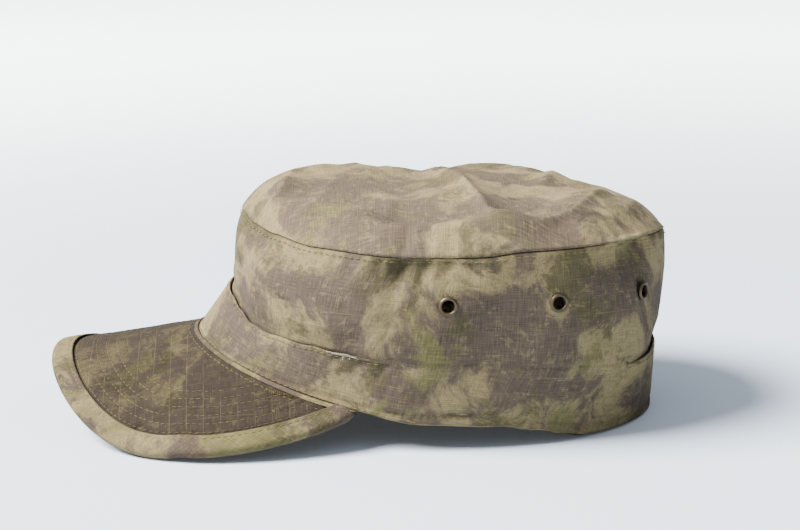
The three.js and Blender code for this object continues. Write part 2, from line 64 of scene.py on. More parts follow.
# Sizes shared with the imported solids
CLOTH = 1.4
TOP_CLOTH, WALL_CLOTH, STRIP_CLOTH = 1.0, 0.8, 0.8
WALL_ROUND, RIM_ROUND = 578, 560
GAP = 0.35
RIM_LENGTH, RIM_WIDTH = 217, 156
TUCK_LENGTH, TUCK_WIDTH, TUCK_BACK = 203, 160, 8
SEAM_LENGTH, SEAM_WIDTH, SEAM_BACK = 199, 163, 13.5
TUCK_SQUARENESS, SEAM_SQUARENESS = 2.35, 2.08
SEAM_HEIGHT, BAND_HEIGHT, RIM_LIFT = 89, 30, 15
RIM_BAND_SHOW, RIM_BAND_HEIGHT, RIM_BAND_WALL = 1.2, 18, 1.6
DOME_HEIGHT, DOME_LEAN = 21.5, 0.2
WALL_BULGE, WALL_FOLD, TOP_FOLD = 4, 3, 4
PEAK_REACH, PEAK_FLARE, PEAK_CORNER = 70.5, 17.5, 74.5
PEAK_WIDEST, PEAK_DROP, PEAK_SLOPE, PEAK_HOLLOW = 86, 37, 0.138, 0.0014
PEAK_SQUARENESS, PEAK_NOSE_ARCH = 1.93, 0.5
PEAK_BOARD, PEAK_EDGE_UNDER = 3.0, 3.75
BINDING_WIDTH, BINDING_SIDE, BINDING_CLOTH, BINDING_SPACE = 8.8, 8.2, 1.0, 0.5
EYELET_FLANGE, EYELET_HOLE = 8.6, 5.4
EYELET_ANGLES = (89, 114.3, 145)
EYELET_LEVEL = 0.58
FRONT_REACH, BACK_REACH = 80, 41

# The rim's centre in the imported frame, from the top's own box
TOP_LOW, TOP_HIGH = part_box("crown_top")
SHIFT_Y = (TOP_LOW[1] + TOP_HIGH[1]) / 2 / MM - SEAM_BACK

# (angle from the front, share of the named height), the same on both sides
RIM_HEIGHTS = (
    (73, 1.0), (80, 0.88), (90, 0.77), (107, 0.65), (117, 0.42), (124, 0.2), (131, 0.04), (138, 0),
)
TUCK_HEIGHTS = (
    (0, 2.03), (16, 1.99), (25, 1.85), (33, 1.7), (43, 1.62), (57, 1.54), (66, 1.47), (76, 1.38),
    (92, 1.3), (118, 1.18), (145, 1.07), (180, 1.12),
)
SEAM_HEIGHTS = (
    (0, 1.1), (14, 1.1), (24, 1.07), (36, 1.045), (52, 1.01), (76, 0.988), (95, 0.99), (106, 1.01),
    (145, 1.015), (162, 1.005), (180, 0.965),
)
# (angle, swell near the seam, swell near the tuck), shares of WALL_BULGE
BULGES = (
    (0, 0.35, -0.45), (20, 0.8, -0.2), (36, 1.1, 0.25), (60, 0.7, 0.45), (90, 0.45, 0.5),
    (130, 0.55, 0.5), (160, 0.3, 0.35), (180, 0.1, 0.1),
)
# (angle, level from rim to seam, spread, rise, lean, depth as a share of WALL_FOLD)
WALL_FOLDS = (
    (138, 0.9, 6, 0.12, 10, 1.2), (128, 0.91, 4, 0.1, -20, 0.5), (76, 0.9, 4, 0.1, 8, 0.5),
    (87, 0.92, 4, 0.08, 14, 0.4), (101, 0.5, 7, 0.26, 32, 0.75), (92, 0.48, 6, 0.26, 32, -0.5),
    (60, 0.72, 9, 0.22, -24, 0.35), (24, 0.7, 7, 0.25, 6, 0.4), (160, 0.6, 8, 0.24, -30, 0.4),
    (196, 0.78, 7, 0.2, 18, 0.6), (226, 0.86, 7, 0.15, -10, 0.9), (252, 0.6, 8, 0.26, -34, 0.7),
    (262, 0.58, 7, 0.24, -34, -0.4), (281, 0.9, 5, 0.1, 0, 0.5), (312, 0.8, 8, 0.2, 16, 0.5),
    (340, 0.66, 7, 0.24, -8, 0.35),
)
# Ridges of the top: from x, y to x, y in shares of the seam oval, width, height
TOP_FOLDS = (
    (-0.3, -0.05, 0.92, 0.22, 0.1, 0.8), (0.12, 0.73, 0.93, 0.27, 0.09, 0.75),
    (0.25, 0.84, 0.72, 0.55, 0.07, 0.5), (0.02, 0.28, 0.7, 0.42, 0.2, -0.9),
    (-0.8, -0.14, -0.15, -0.1, 0.2, -0.6), (0.75, -0.3, 0.15, -0.25, 0.24, -0.75),
    (0.2, -0.84, 0.36, -0.9, 0.1, 0.5), (0.5, -0.72, 0.16, -0.6, 0.18, -0.45),
    (-0.88, 0.2, -0.3, 0.5, 0.1, 0.6), (-0.55, 0.7, 0.1, 0.78, 0.18, -0.5),
    (-0.72, -0.5, -0.2, -0.62, 0.12, 0.5),
)


# Shape of the cap, in millimetres about the rim's centre

def smooth(value):
    value = min(max(value, 0), 1)
    return value * value * (3 - 2 * value)


def mix(a, b, part):
    return a + (b - a) * part


def signed_power(value, power):
    return math.copysign(abs(value) ** power, value)


def wrap(turn):
    """The same turn between -180 and 180 degrees."""
    return (turn + 180) % 360 - 180


def turn_from_front(angle):
    return abs(wrap(angle))


def off_line(x, y, x0, y0, x1, y1):
    """Distance from a straight stretch, and how far along it the nearest place is, 0 to 1."""
    dx, dy = x1 - x0, y1 - y0
    place = ((x - x0) * dx + (y - y0) * dy) / (dx * dx + dy * dy)
    place = min(max(place, 0), 1)
    return math.hypot(x - x0 - dx * place, y - y0 - dy * place), place


def from_table(table, angle, column=1):
    turn = turn_from_front(angle)
    if turn <= table[0][0]:
        return table[0][column]
    for low, high in zip(table, table[1:]):
        if turn <= high[0]:
            return mix(low[column], high[column], smooth((turn - low[0]) / (high[0] - low[0])))
    return table[-1][column]


def oval(angle, length, width, back, squareness):
    across, along = math.sin(math.radians(angle)), math.cos(math.radians(angle))
    power = 2 / squareness
    return (width / 2 * signed_power(across, power), back - length / 2 * signed_power(along, power))


def rim_plan(angle):
    return oval(angle, RIM_LENGTH, RIM_WIDTH, 0, 2)


def tuck_plan(angle):
    return oval(angle, TUCK_LENGTH, TUCK_WIDTH, TUCK_BACK, TUCK_SQUARENESS)


def seam_plan(angle):
    return oval(angle, SEAM_LENGTH, SEAM_WIDTH, SEAM_BACK, SEAM_SQUARENESS)


def outward(angle):
    ahead, behind = tuck_plan(angle + 0.5), tuck_plan(angle - 0.5)
    return Vector((ahead[1] - behind[1], behind[0] - ahead[0], 0)).normalized()


CORNER = rim_plan(PEAK_CORNER)
PEAK_HALF = CORNER[0] + PEAK_FLARE
PEAK_WIDEST_Y = -RIM_LENGTH / 2 - PEAK_REACH + PEAK_WIDEST
REAR_LENGTH = (CORNER[1] - PEAK_WIDEST_Y) / math.sqrt(1 - (CORNER[0] / PEAK_HALF) ** 2)
CORNER_TURN = math.degrees(math.asin((CORNER[1] - PEAK_WIDEST_Y) / REAR_LENGTH))
OVERHANG = BINDING_CLOTH + BINDING_SPACE


def peak_form(x, y):
    back = y + RIM_LENGTH / 2
    ease = PEAK_HOLLOW * back * back if back > 0 else 0
    nose = 1 + PEAK_NOSE_ARCH * max(-back / PEAK_REACH, 0)
    return PEAK_SLOPE * back - ease - PEAK_DROP * nose * (x / PEAK_HALF) ** 2


def peak_outline(share):
    turn = math.radians(mix(-90 - CORNER_TURN, 90 + CORNER_TURN, share))
    along, across = math.cos(turn), math.sin(turn)
    power = 2 / PEAK_SQUARENESS if along > 0 else 1
    length = PEAK_WIDEST if along > 0 else REAR_LENGTH
    return (
        (PEAK_HALF - OVERHANG) * signed_power(across, power),
        PEAK_WIDEST_Y - (length - OVERHANG) * signed_power(along, power),
    )


JOINT_HEIGHT = PEAK_EDGE_UNDER - min(peak_form(*peak_outline(i / 200)) for i in range(201))


def peak_top(x, y):
    return JOINT_HEIGHT + peak_form(x, y)


def peak_normal(x, y):
    step = 0.1
    return Vector((
        (peak_top(x - step, y) - peak_top(x + step, y)) / (2 * step),
        (peak_top(x, y - step) - peak_top(x, y + step)) / (2 * step),
        1,
    )).normalized()


def on_peak(x, y, height):
    return Vector((x, y, peak_top(x, y))) + peak_normal(x, y) * height


def rim_height(angle):
    return RIM_BAND_SHOW + RIM_LIFT * from_table(RIM_HEIGHTS, angle)


def tuck_height(angle):
    return BAND_HEIGHT * from_table(TUCK_HEIGHTS, angle)


def seam_level(angle):
    return SEAM_HEIGHT * from_table(SEAM_HEIGHTS, angle)


def wall_fold(angle, level):
    turn, depth = angle % 360, 0
    for at, height, spread, rise, lean, share in WALL_FOLDS:
        aside = wrap(turn - at - lean * (level - height))
        depth += share * math.exp(-((aside / spread) ** 2) - ((level - height) / rise) ** 2)
    return depth * WALL_FOLD * smooth((1 - level) / 0.06) * smooth((level - 0.02) / 0.2)


def wall_point(angle, level, inset):
    """Level 0 is the rim, 1 the tuck line and 2 the seam."""
    rim, tuck, seam = rim_plan(angle), tuck_plan(angle), seam_plan(angle)
    out = outward(angle)
    tuck_z, seam_z = tuck_height(angle), seam_level(angle)
    foot = peak_top(rim[0] - out.x * inset, rim[1] - out.y * inset) + GAP
    rim_z = mix(foot, rim_height(angle), smooth((turn_from_front(angle) - PEAK_CORNER - 2) / 7))
    if level <= 1:
        point = Vector((*rim, rim_z)).lerp(Vector((*tuck, tuck_z)), level)
    else:
        rise = level - 1
        point = Vector((*tuck, tuck_z)).lerp(Vector((*seam, seam_z)), rise)
        high = from_table(BULGES, angle, 1) * math.sin(math.pi * rise ** 1.7)
        low = from_table(BULGES, angle, 2) * math.sin(math.pi * rise ** 0.7)
        point += out * WALL_BULGE * (high + low)
    height = (point.z - rim_z) / (seam_z - rim_z)
    return point - out * (wall_fold(angle, height) + inset)


def top_height(x, y):
    across, along = x / (SEAM_WIDTH / 2), (y - SEAM_BACK) / (SEAM_LENGTH / 2)
    half = SEAM_SQUARENESS / 2
    a, b = signed_power(across, half), signed_power(along, half)
    out = min(math.hypot(a, b) ** (1 / half), 1)
    angle = math.degrees(math.atan2(a, -b))
    dome = 0.36 * (1 - out ** 2) + 0.2 * (1 - out ** 4) + 0.44 * (1 - out ** 11)
    fold = 0
    for *line, width, height in TOP_FOLDS:
        away = off_line(across, along, *line)[0] / width
        fold += height * math.exp(-away * away)
    edge = mix(SEAM_HEIGHT, seam_level(angle), out ** 2)
    lean = 1 - DOME_LEAN * along
    folds = TOP_FOLD * fold * smooth((1 - out) / 0.14)
    return edge + GAP + DOME_HEIGHT * dome * lean + folds


def crease(x, y, z, size):
    """Small uneven waves of the cloth, from -1 to 1."""
    return noise.noise(Vector((x, y, z)) / size)


# Sharper creases of the top, in shares of the seam oval: places along it, width, height in mm
TOP_CREASES = (
    (((-0.27, -0.04), (0.47, 0.07), (0.86, 0.17)), 0.035, 2.2),
    (((-0.05, 0.02), (0.5, 0.16), (0.8, 0.24)), 0.09, -1.1),
    (((0.86, 0.32), (0.64, 0.53), (0.1, 0.75)), 0.035, 1.8),
    (((0.7, 0.62), (0.45, 0.78), (0.05, 0.9)), 0.04, 0.9),
    (((0.25, 0.35), (-0.3, 0.5), (-0.76, 0.57)), 0.05, 1.0),
    (((0.49, -0.87), (0.3, -0.79), (-0.2, -0.76)), 0.035, 1.2),
    (((0.62, -0.74), (0.5, -0.62), (0.1, -0.55)), 0.04, 0.7),
    (((0.9, -0.33), (0.55, -0.3), (0.2, -0.36)), 0.05, 0.8),
    (((-0.9, 0.1), (-0.5, 0.02), (-0.2, -0.12)), 0.05, 0.9),
    (((-0.7, -0.58), (-0.3, -0.42), (0.05, -0.4)), 0.05, 0.8),
    (((-0.4, 0.86), (-0.2, 0.55), (-0.25, 0.25)), 0.045, 0.9),
    (((0.8, -0.42), (0.88, -0.05), (0.8, 0.46)), 0.05, 2.0),
    (((0.66, -0.4), (0.72, -0.05), (0.66, 0.4)), 0.1, -2.2),
    (((-0.66, 0.06), (-0.52, 0.26)), 0.14, 2.0),
    (((-0.46, -0.36), (-0.3, -0.18)), 0.1, 1.3),
    (((-0.36, -0.06), (-0.22, -0.02)), 0.07, -1.5),
    (((-0.5, 0.42), (-0.3, 0.54)), 0.12, -1.5),
)


def top_creases(across, along):
    total = 0
    for line, width, height in TOP_CREASES:
        nearest, faded = 9.0, 1.0
        for i, (start, end) in enumerate(zip(line, line[1:])):
            away, place = off_line(across, along, *start, *end)
            if away < nearest:
                through = (i + place) / (len(line) - 1)
                nearest, faded = away, smooth(through / 0.25) * smooth((1 - through) / 0.25)
        total += 1.5 * height * (0.25 + 0.75 * faded) * math.exp(-((nearest / width) ** 1.4))
    return total


# Gathers under and over the top seam: (angle, width in degrees, depth, reach in mm)
GATHER_DEPTH, TOP_GATHER = 1.5, 0.45
SMALL_GATHERS = 64
chance = random.Random(7)
GATHERS = [
    (76.8, 2.2, 3.0, 15), (82.3, 1.8, 2.3, 13), (87.5, 1.5, 1.4, 9), (71.5, 1.1, 0.7, 6),
    (131.5, 1.9, 1.7, 13), (137, 2.2, 2.2, 16), (143.5, 2.8, 3.0, 18), (149, 1.5, 1.0, 8),
    (205, 1.6, 1.2, 9), (223, 2.2, 1.8, 11), (268, 1.5, 1.6, 9), (276, 1.4, 1.2, 8),
] + [
    (4 + 355 * i / SMALL_GATHERS + chance.uniform(-2, 2), chance.uniform(0.8, 1.6),
     chance.uniform(0.15, 0.65), chance.uniform(4, 9))
    for i in range(SMALL_GATHERS)
]


def gather(angle, away):
    """Depth of the gathers at a distance in mm from the seam."""
    total = 0
    for at, width, depth, reach in GATHERS:
        aside = wrap(angle - at) / width
        if abs(aside) < 3:
            total += depth * math.exp(-aside * aside) * math.exp(-((away / reach) ** 2))
    return GATHER_DEPTH * total


# Mesh help

TOP_GRID, RIM_GRID, WELT_GRID = (150, 170), (240, 16), (230, 12)
WALL_COLUMNS, BINDING_COLUMNS = 540, 300
PEAK_COLUMNS, PEAK_ROWS = 250, 86
SAME_PLACE = 1e-6


def to_mesh_place(point):
    return Vector((point[0], point[1] + SHIFT_Y, point[2])) * MM


def cloth_sheet(columns, rows, place, cloth, looped=False, wear_and_shade=None):
    """A grid of cloth: place(u, v) in mm, cloth(u, v) its UV in metres, and the last function a
    mark from -1 to 1 per vertex: rubbed wear above 0, painted shade below 0.
    """
    sheet = bmesh.new()
    bmesh.ops.create_grid(sheet, x_segments=columns, y_segments=rows, size=1)
    uv = sheet.loops.layers.uv.new("cloth")
    wear_and_shade_mark = sheet.verts.layers.float.new("wear_and_shade")
    shares = {vert: ((vert.co.x + 1) / 2, (vert.co.y + 1) / 2) for vert in sheet.verts}
    flat = {vert: cloth(*share) for vert, share in shares.items()}
    for face in sheet.faces:
        for loop in face.loops:
            loop[uv].uv = flat[loop.vert]
    for vert, share in shares.items():
        vert.co = to_mesh_place(place(*share))
        vert[wear_and_shade_mark] = wear_and_shade(*share) if wear_and_shade else 0
    if looped:
        bmesh.ops.remove_doubles(sheet, verts=sheet.verts, dist=SAME_PLACE)
    return sheet


def close_ends(sheet):
    ends = [edge for edge in sheet.edges if edge.is_boundary]
    bmesh.ops.holes_fill(sheet, edges=ends, sides=0)
    bmesh.ops.recalc_face_normals(sheet, faces=sheet.faces)


def face_out(sheet, inside):
    """Turns a sheet's faces away from a point inside it."""
    bmesh.ops.recalc_face_normals(sheet, faces=sheet.faces)
    lean = sum(
        face.normal.dot(face.calc_center_median() - inside) * face.calc_area()
        for face in sheet.faces
    )
    if lean < 0:
        bmesh.ops.reverse_faces(sheet, faces=sheet.faces)


def finish_piece(name, sheet, material, slot, nodes=()):
    mesh = bpy.data.meshes.new(name)
    for face in sheet.faces:
        face.smooth = True
    sheet.to_mesh(mesh)
    sheet.free()
    piece = bpy.data.objects.new(name, mesh)
    bpy.context.scene.collection.objects.link(piece)
    mesh.materials.append(material)
    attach(piece, "root")
    if nodes:
        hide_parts(*nodes)
    return piece


def join_in(whole, part):
    """Adds a mesh in the making to another and frees it."""
    spare = bpy.data.meshes.new("spare")
    part.to_mesh(spare)
    part.free()
    whole.from_mesh(spare)
    bpy.data.meshes.remove(spare)


def thicken(piece, thickness):
    wall = piece.modifiers.new("Cloth", "SOLIDIFY")
    wall.thickness = thickness * MM
    wall.offset = -1
    wall.use_rim = True


# Material help

def feed(tree, socket, value):
    """Links a socket to another, or sets it to a constant."""
    if isinstance(value, bpy.types.NodeSocket):
        tree.links.new(value, socket)
    else:
        socket.default_value = value


def add_node(tree, kind, inputs=None, **settings):
    made = tree.nodes.new(kind)
    for name, value in settings.items():
        setattr(made, name, value)
    for name, value in (inputs or {}).items():
        feed(tree, made.inputs[name], value)
    return made


def sum_up(tree, operation, *values, clamp=False):
    made = tree.nodes.new("ShaderNodeMath")
    made.operation = operation
    made.use_clamp = clamp
    for socket, value in zip(made.inputs, values):
        feed(tree, socket, value)
    return made.outputs[0]


def blend_colour(tree, part, first, second, blend="MIX"):
    made = tree.nodes.new("ShaderNodeMix")
    made.data_type = "RGBA"
    made.blend_type = blend
    for index, value in ((0, part), (6, first), (7, second)):
        feed(tree, made.inputs[index], value)
    return made.outputs[2]


def shade_by(tree, colour, amount):
    """A colour made darker or lighter by a factor."""
    grey = add_node(tree, "ShaderNodeCombineColor", dict.fromkeys(("Red", "Green", "Blue"), amount))
    return blend_colour(tree, 1.0, colour, grey.outputs[0], "MULTIPLY")


def scale_vector(tree, vector, factor):
    made = add_node(tree, "ShaderNodeVectorMath", {0: vector, "Scale": factor}, operation="SCALE")
    return made.outputs[0]


def add_vector(tree, vector, other):
    return add_node(tree, "ShaderNodeVectorMath", {0: vector, 1: other}, operation="ADD").outputs[0]


def noise_value(tree, vector, scale, detail=2.0, roughness=0.5):
    return add_node(
        tree, "ShaderNodeTexNoise",
        {"Vector": vector, "Scale": scale, "Detail": detail, "Roughness": roughness},
    ).outputs["Fac"]


def soft_step(tree, value, low, high):
    return add_node(
        tree, "ShaderNodeMapRange", {"Value": value, "From Min": low, "From Max": high},
        interpolation_type="SMOOTHSTEP",
    ).outputs["Result"]


def add_group(tree, name, inputs):
    return add_node(
        tree, "ShaderNodeGroup", inputs, node_tree=bpy.data.node_groups[name],
    ).outputs


def small_bump(tree, height, strength, distance):
    return add_node(tree, "ShaderNodeBump", {
        "Height": height, "Strength": strength, "Distance": distance,
    }).outputs["Normal"]


def new_material(name):
    """A fresh material: itself, its tree, its shader's sockets and the object's coordinates."""
    material = bpy.data.materials.new(name)
    material.use_nodes = True
    tree = material.node_tree
    where = add_node(tree, "ShaderNodeTexCoord").outputs["Object"]
    return material, tree, tree.nodes["Principled BSDF"].inputs, where


def new_group(name, inputs, outputs):
    tree = bpy.data.node_groups.new(name, "ShaderNodeTree")
    for label, kind, value in inputs:
        socket = tree.interface.new_socket(name=label, in_out="INPUT", socket_type=kind)
        if value is not None:
            socket.default_value = value
    for label, kind in outputs:
        tree.interface.new_socket(name=label, in_out="OUTPUT", socket_type=kind)
    return tree, tree.nodes.new("NodeGroupInput").outputs, tree.nodes.new("NodeGroupOutput").inputs


def camouflage_group():
    """Soft mottled blotches in five colours, printed through the cloth's own coordinates."""
    tree, given, out = new_group(
        "Camouflage print",
        [
            ("Vector", "NodeSocketVector", None),
            ("Blotch", "NodeSocketFloat", 0.05),
            ("Streak", "NodeSocketFloat", 0.0),
            ("Brown Share", "NodeSocketFloat", 0.0),
            ("Khaki", "NodeSocketColor", None),
            ("Brown", "NodeSocketColor", None),
            ("Olive", "NodeSocketColor", None),
            ("Green", "NodeSocketColor", None),
            ("Dark", "NodeSocketColor", None),
        ],
        [("Color", "NodeSocketColor")],
    )
    place = scale_vector(tree, given["Vector"], sum_up(tree, "DIVIDE", 1.0, given["Blotch"]))
    swirl = add_node(tree, "ShaderNodeTexNoise", {"Vector": place, "Scale": 1.3, "Detail": 2.0})
    centred = add_vector(tree, swirl.outputs["Color"], (-0.5, -0.5, -0.5))
    place = add_vector(tree, place, scale_vector(tree, centred, 0.7))
    grain = noise_value(tree, place, 12.0, 6.0, 0.82)
    feather = sum_up(tree, "MULTIPLY", sum_up(tree, "SUBTRACT", grain, 0.5), 0.3)
    feather = sum_up(tree, "MULTIPLY_ADD", given["Streak"], 0.1, feather)

    def blotches(offset, scale, low, high):
        moved = add_vector(tree, place, offset)
        value = noise_value(tree, moved, scale, 3.0, 0.55)
        return soft_step(tree, sum_up(tree, "ADD", value, feather), low, high)

    ground = noise_value(tree, add_vector(tree, place, (3, 9, 4)), 0.9, 3.0, 0.55)
    ground = sum_up(tree, "ADD", sum_up(tree, "ADD", ground, feather), given["Brown Share"])
    ground = soft_step(tree, ground, 0.455, 0.53)
    colour = blend_colour(tree, ground, given["Khaki"], given["Brown"])
    green = sum_up(tree, "MULTIPLY", blotches((21, 5, 8), 1.5, 0.575, 0.64), 0.8)
    colour = blend_colour(tree, green, colour, given["Green"])
    olive = sum_up(tree, "MULTIPLY", blotches((7, 31, 2), 1.2, 0.56, 0.63), 0.85)
    colour = blend_colour(tree, olive, colour, given["Olive"])
    dark = sum_up(tree, "MULTIPLY", blotches((13, 2, 27), 1.5, 0.61, 0.7), 0.75)
    colour = blend_colour(tree, dark, colour, given["Dark"])

    def flecks(offset, scale, low, high, share):
        value = noise_value(tree, add_vector(tree, place, offset), scale, 3.0, 0.7)
        value = sum_up(tree, "MULTIPLY_ADD", given["Streak"], 0.12, value)
        return sum_up(tree, "MULTIPLY", soft_step(tree, value, low, high), share)

    colour = blend_colour(tree, flecks((4, 1, 6), 11.0, 0.54, 0.64, 0.4), colour, given["Brown"])
    colour = blend_colour(tree, flecks((8, 3, 1), 9.0, 0.55, 0.66, 0.4), colour, given["Khaki"])
    colour = blend_colour(tree, flecks((2, 7, 5), 7.0, 0.56, 0.66, 0.35), colour, given["Green"])
    tree.links.new(colour, out["Color"])
    return tree


def ripstop_group():
    """A plain weave with stronger threads in a square grid, from UVs in metres."""
    tree, given, out = new_group(
        "Ripstop weave",
        [
            ("UV", "NodeSocketVector", None),
            ("Grid", "NodeSocketFloat", 0.007),
            ("Thread", "NodeSocketFloat", 0.0005),
        ],
        [("Lines", "NodeSocketFloat"), ("Slub", "NodeSocketFloat"), ("Height", "NodeSocketFloat")],
    )
    parts = add_node(tree, "ShaderNodeSeparateXYZ", {"Vector": given["UV"]}).outputs

    def line(value):
        turns = sum_up(tree, "FRACT", sum_up(tree, "DIVIDE", value, given["Grid"]))
        away = sum_up(tree, "ABSOLUTE", sum_up(tree, "SUBTRACT", turns, 0.5))
        return soft_step(tree, away, 0.462, 0.5)

    def weave(value):
        turns = sum_up(tree, "DIVIDE", value, given["Thread"])
        return sum_up(tree, "SINE", sum_up(tree, "MULTIPLY", turns, math.tau))

    def streak(across, along):
        stretched = add_node(tree, "ShaderNodeMapping", {
            "Vector": given["UV"], "Scale": (across, along, 1.0),
        })
        return noise_value(tree, stretched.outputs["Vector"], 1.0, 2.0, 0.6)

    upright = sum_up(tree, "MULTIPLY", line(parts["X"]), 0.6)
    lines = sum_up(tree, "MAXIMUM", upright, line(parts["Y"]))
    threads = sum_up(tree, "MULTIPLY", weave(parts["X"]), weave(parts["Y"]))
    slub = sum_up(tree, "ADD", streak(2000, 130), streak(130, 2000))
    slub = sum_up(tree, "SUBTRACT", slub, 1.0)
    height = sum_up(tree, "MULTIPLY_ADD", lines, 1.2, sum_up(tree, "MULTIPLY", threads, 0.35))
    height = sum_up(tree, "MULTIPLY_ADD", slub, 1.4, height)
    tree.links.new(lines, out["Lines"])
    tree.links.new(slub, out["Slub"])
    tree.links.new(height, out["Height"])
    return tree


def wear_and_shade_group():
    """Pale rubbed edges over a colour where the mark is above 0, and painted shade in seams,
    grooves and creases where it is below 0.
    """
    tree, given, out = new_group(
        "Cloth wear",
        [
            ("Color", "NodeSocketColor", None),
            ("Vector", "NodeSocketVector", None),
            ("Wear And Shade", "NodeSocketFloat", 0.0),
            ("Worn Color", "NodeSocketColor", None),
        ],
        [("Color", "NodeSocketColor")],
    )
    patchy = noise_value(tree, given["Vector"], 160.0, 4.0, 0.7)
    edge = sum_up(tree, "MAXIMUM", given["Wear And Shade"], 0.0)
    rubbed = soft_step(tree, sum_up(tree, "MULTIPLY", edge, patchy), 0.12, 0.5)
    colour = blend_colour(tree, rubbed, given["Color"], given["Worn Color"])
    # Painted shade: below 0 the mark blends the cloth towards near black, standing in for shade in
    # seams, grooves, creases and under folds.
    painted_shade = sum_up(tree, "MAXIMUM", sum_up(tree, "MULTIPLY", given["Wear And Shade"], -1.0), 0.0)
    colour = blend_colour(
        tree, sum_up(tree, "MULTIPLY", painted_shade, 0.8), colour, (0.02, 0.018, 0.014, 1),
    )
    faded = noise_value(tree, given["Vector"], 14.0, 3.0, 0.5)
    fade = sum_up(tree, "MULTIPLY_ADD", faded, 0.35, 0.83)
    tree.links.new(shade_by(tree, colour, fade), out["Color"])
    return tree


def cloth_material(name, offset, bias=0.0, tone_and_painted_light=1.0, tuck=False, grid=1.0, contrast=1.0, brown=0.0):
    """Printed ripstop.

    Offset moves the print from piece to piece and bias turns the weave. The tint lightens or
    darkens a whole piece's cloth: painted light on the top and the rim band, and on the peak
    painted shade together with its darker cloth. Contrast sets how marked the print is, brown its
    share of brown and grid how clearly the grid shows.
    """
    look = bpy.context.scene.cap_cloth
    material, tree, shader, where = new_material(name)
    flat = add_node(tree, "ShaderNodeUVMap", uv_map="cloth").outputs["UV"]
    grain = add_node(tree, "ShaderNodeMapping", {"Vector": flat, "Rotation": (0, 0, bias)})
    weave = add_group(tree, "Ripstop weave", {
        "UV": grain.outputs["Vector"], "Grid": look.grid, "Thread": look.thread,
    })

    vector = where
    if tuck:
        folded = add_node(tree, "ShaderNodeAttribute", attribute_name="tucked").outputs["Fac"]
        shift = add_node(tree, "ShaderNodeCombineXYZ", {
            "Z": sum_up(tree, "MULTIPLY", folded, look.tuck_shift),
        })
        vector = add_vector(tree, vector, shift.outputs[0])
    printed = add_node(tree, "ShaderNodeMapping", {
        "Vector": vector, "Location": offset, "Rotation": (0.2, 0.1, 0.3 + bias),
    })
    middle = [(first + second) / 2 for first, second in zip(look.khaki, look.brown)]
    colours = {}
    for label in ("khaki", "brown", "olive", "green", "dark"):
        channels = zip(middle, getattr(look, label))
        colours[label.capitalize()] = (
            *[tone_and_painted_light * mix(calm, channel, contrast) for calm, channel in channels], 1,
        )
    colour = add_group(tree, "Camouflage print", {
        "Vector": printed.outputs["Vector"], "Blotch": look.blotch, "Brown Share": brown,
        "Streak": weave["Slub"], **colours,
    })["Color"]

    colour = shade_by(tree, colour, sum_up(tree, "MULTIPLY_ADD", weave["Slub"], look.slub, 1.0))
    faint = soft_step(tree, noise_value(tree, where, 60.0, 3.0, 0.6), 0.3, 0.65)
    lines = sum_up(tree, "MULTIPLY", weave["Lines"], faint)
    lines = sum_up(tree, "MULTIPLY", lines, look.line_strength * grid)
    colour = blend_colour(tree, lines, colour, (*look.line_colour, 1))
    wear_and_shade_mark = add_node(tree, "ShaderNodeAttribute", attribute_name="wear_and_shade").outputs["Fac"]
    colour = add_group(tree, "Cloth wear", {
        "Color": colour, "Vector": where, "Wear And Shade": wear_and_shade_mark, "Worn Color": (*look.worn_colour, 1),
    })["Color"]
    tree.links.new(colour, shader["Base Color"])
    rough = sum_up(tree, "MULTIPLY_ADD", weave["Slub"], 0.3, 0.9, clamp=True)
    tree.links.new(rough, shader["Roughness"])
    tree.links.new(small_bump(tree, weave["Height"], 0.35, 0.0003), shader["Normal"])
    shader["Specular IOR Level"].default_value = 0.06
    shader["Sheen Weight"].default_value = 0.02
    shader["Sheen Roughness"].default_value = 0.5
    return material


def thread_material():
    look = bpy.context.scene.cap_thread
    material, tree, shader, where = new_material("Sewing thread")
    uneven = noise_value(tree, where, 300.0, 2.0, 0.6)
    dull, bright = [(*[part * channel for channel in look.colour], 1) for part in (0.5, 1.5)]
    tree.links.new(blend_colour(tree, uneven, dull, bright), shader["Base Color"])
    ply = {"Vector": where, "Scale": 700.0, "Distortion": 1.0}
    twist = add_node(tree, "ShaderNodeTexWave", ply)
    tree.links.new(small_bump(tree, twist.outputs["Fac"], 0.4, 0.0001), shader["Normal"])
    rough = soft_step(tree, uneven, 0.0, 1.0)
    tree.links.new(sum_up(tree, "MULTIPLY_ADD", rough, 0.3, 0.55), shader["Roughness"])
    shader["Sheen Weight"].default_value = 0.02
    shader["Specular IOR Level"].default_value = 0.15
    return material


def frayed_material():
    material, tree, shader, where = new_material("Frayed thread")
    uneven = noise_value(tree, where, 500.0, 2.0, 0.6)
    colour = blend_colour(tree, uneven, (0.12, 0.12, 0.09, 1), (0.4, 0.42, 0.38, 1))
    tree.links.new(colour, shader["Base Color"])
    shader["Roughness"].default_value = 0.8
    return material


def brass_material():
    material, tree, shader, where = new_material("Antique brass")
    tarnish = noise_value(tree, where, 420.0, 5.0, 0.7)
    wear_and_shade_mark = add_node(tree, "ShaderNodeAttribute", attribute_name="wear_and_shade").outputs["Fac"]
    bright = soft_step(tree, sum_up(tree, "MULTIPLY_ADD", wear_and_shade_mark, 0.55, tarnish), 0.5, 0.95)
    colour = blend_colour(tree, bright, (0.02, 0.015, 0.009, 1), (0.055, 0.039, 0.02, 1))
    tree.links.new(colour, shader["Base Color"])
    tree.links.new(sum_up(tree, "MULTIPLY_ADD", bright, -0.15, 0.6), shader["Roughness"])
    tree.links.new(small_bump(tree, tarnish, 0.15, 0.0001), shader["Normal"])
    shader["Metallic"].default_value = 0.7
    return material


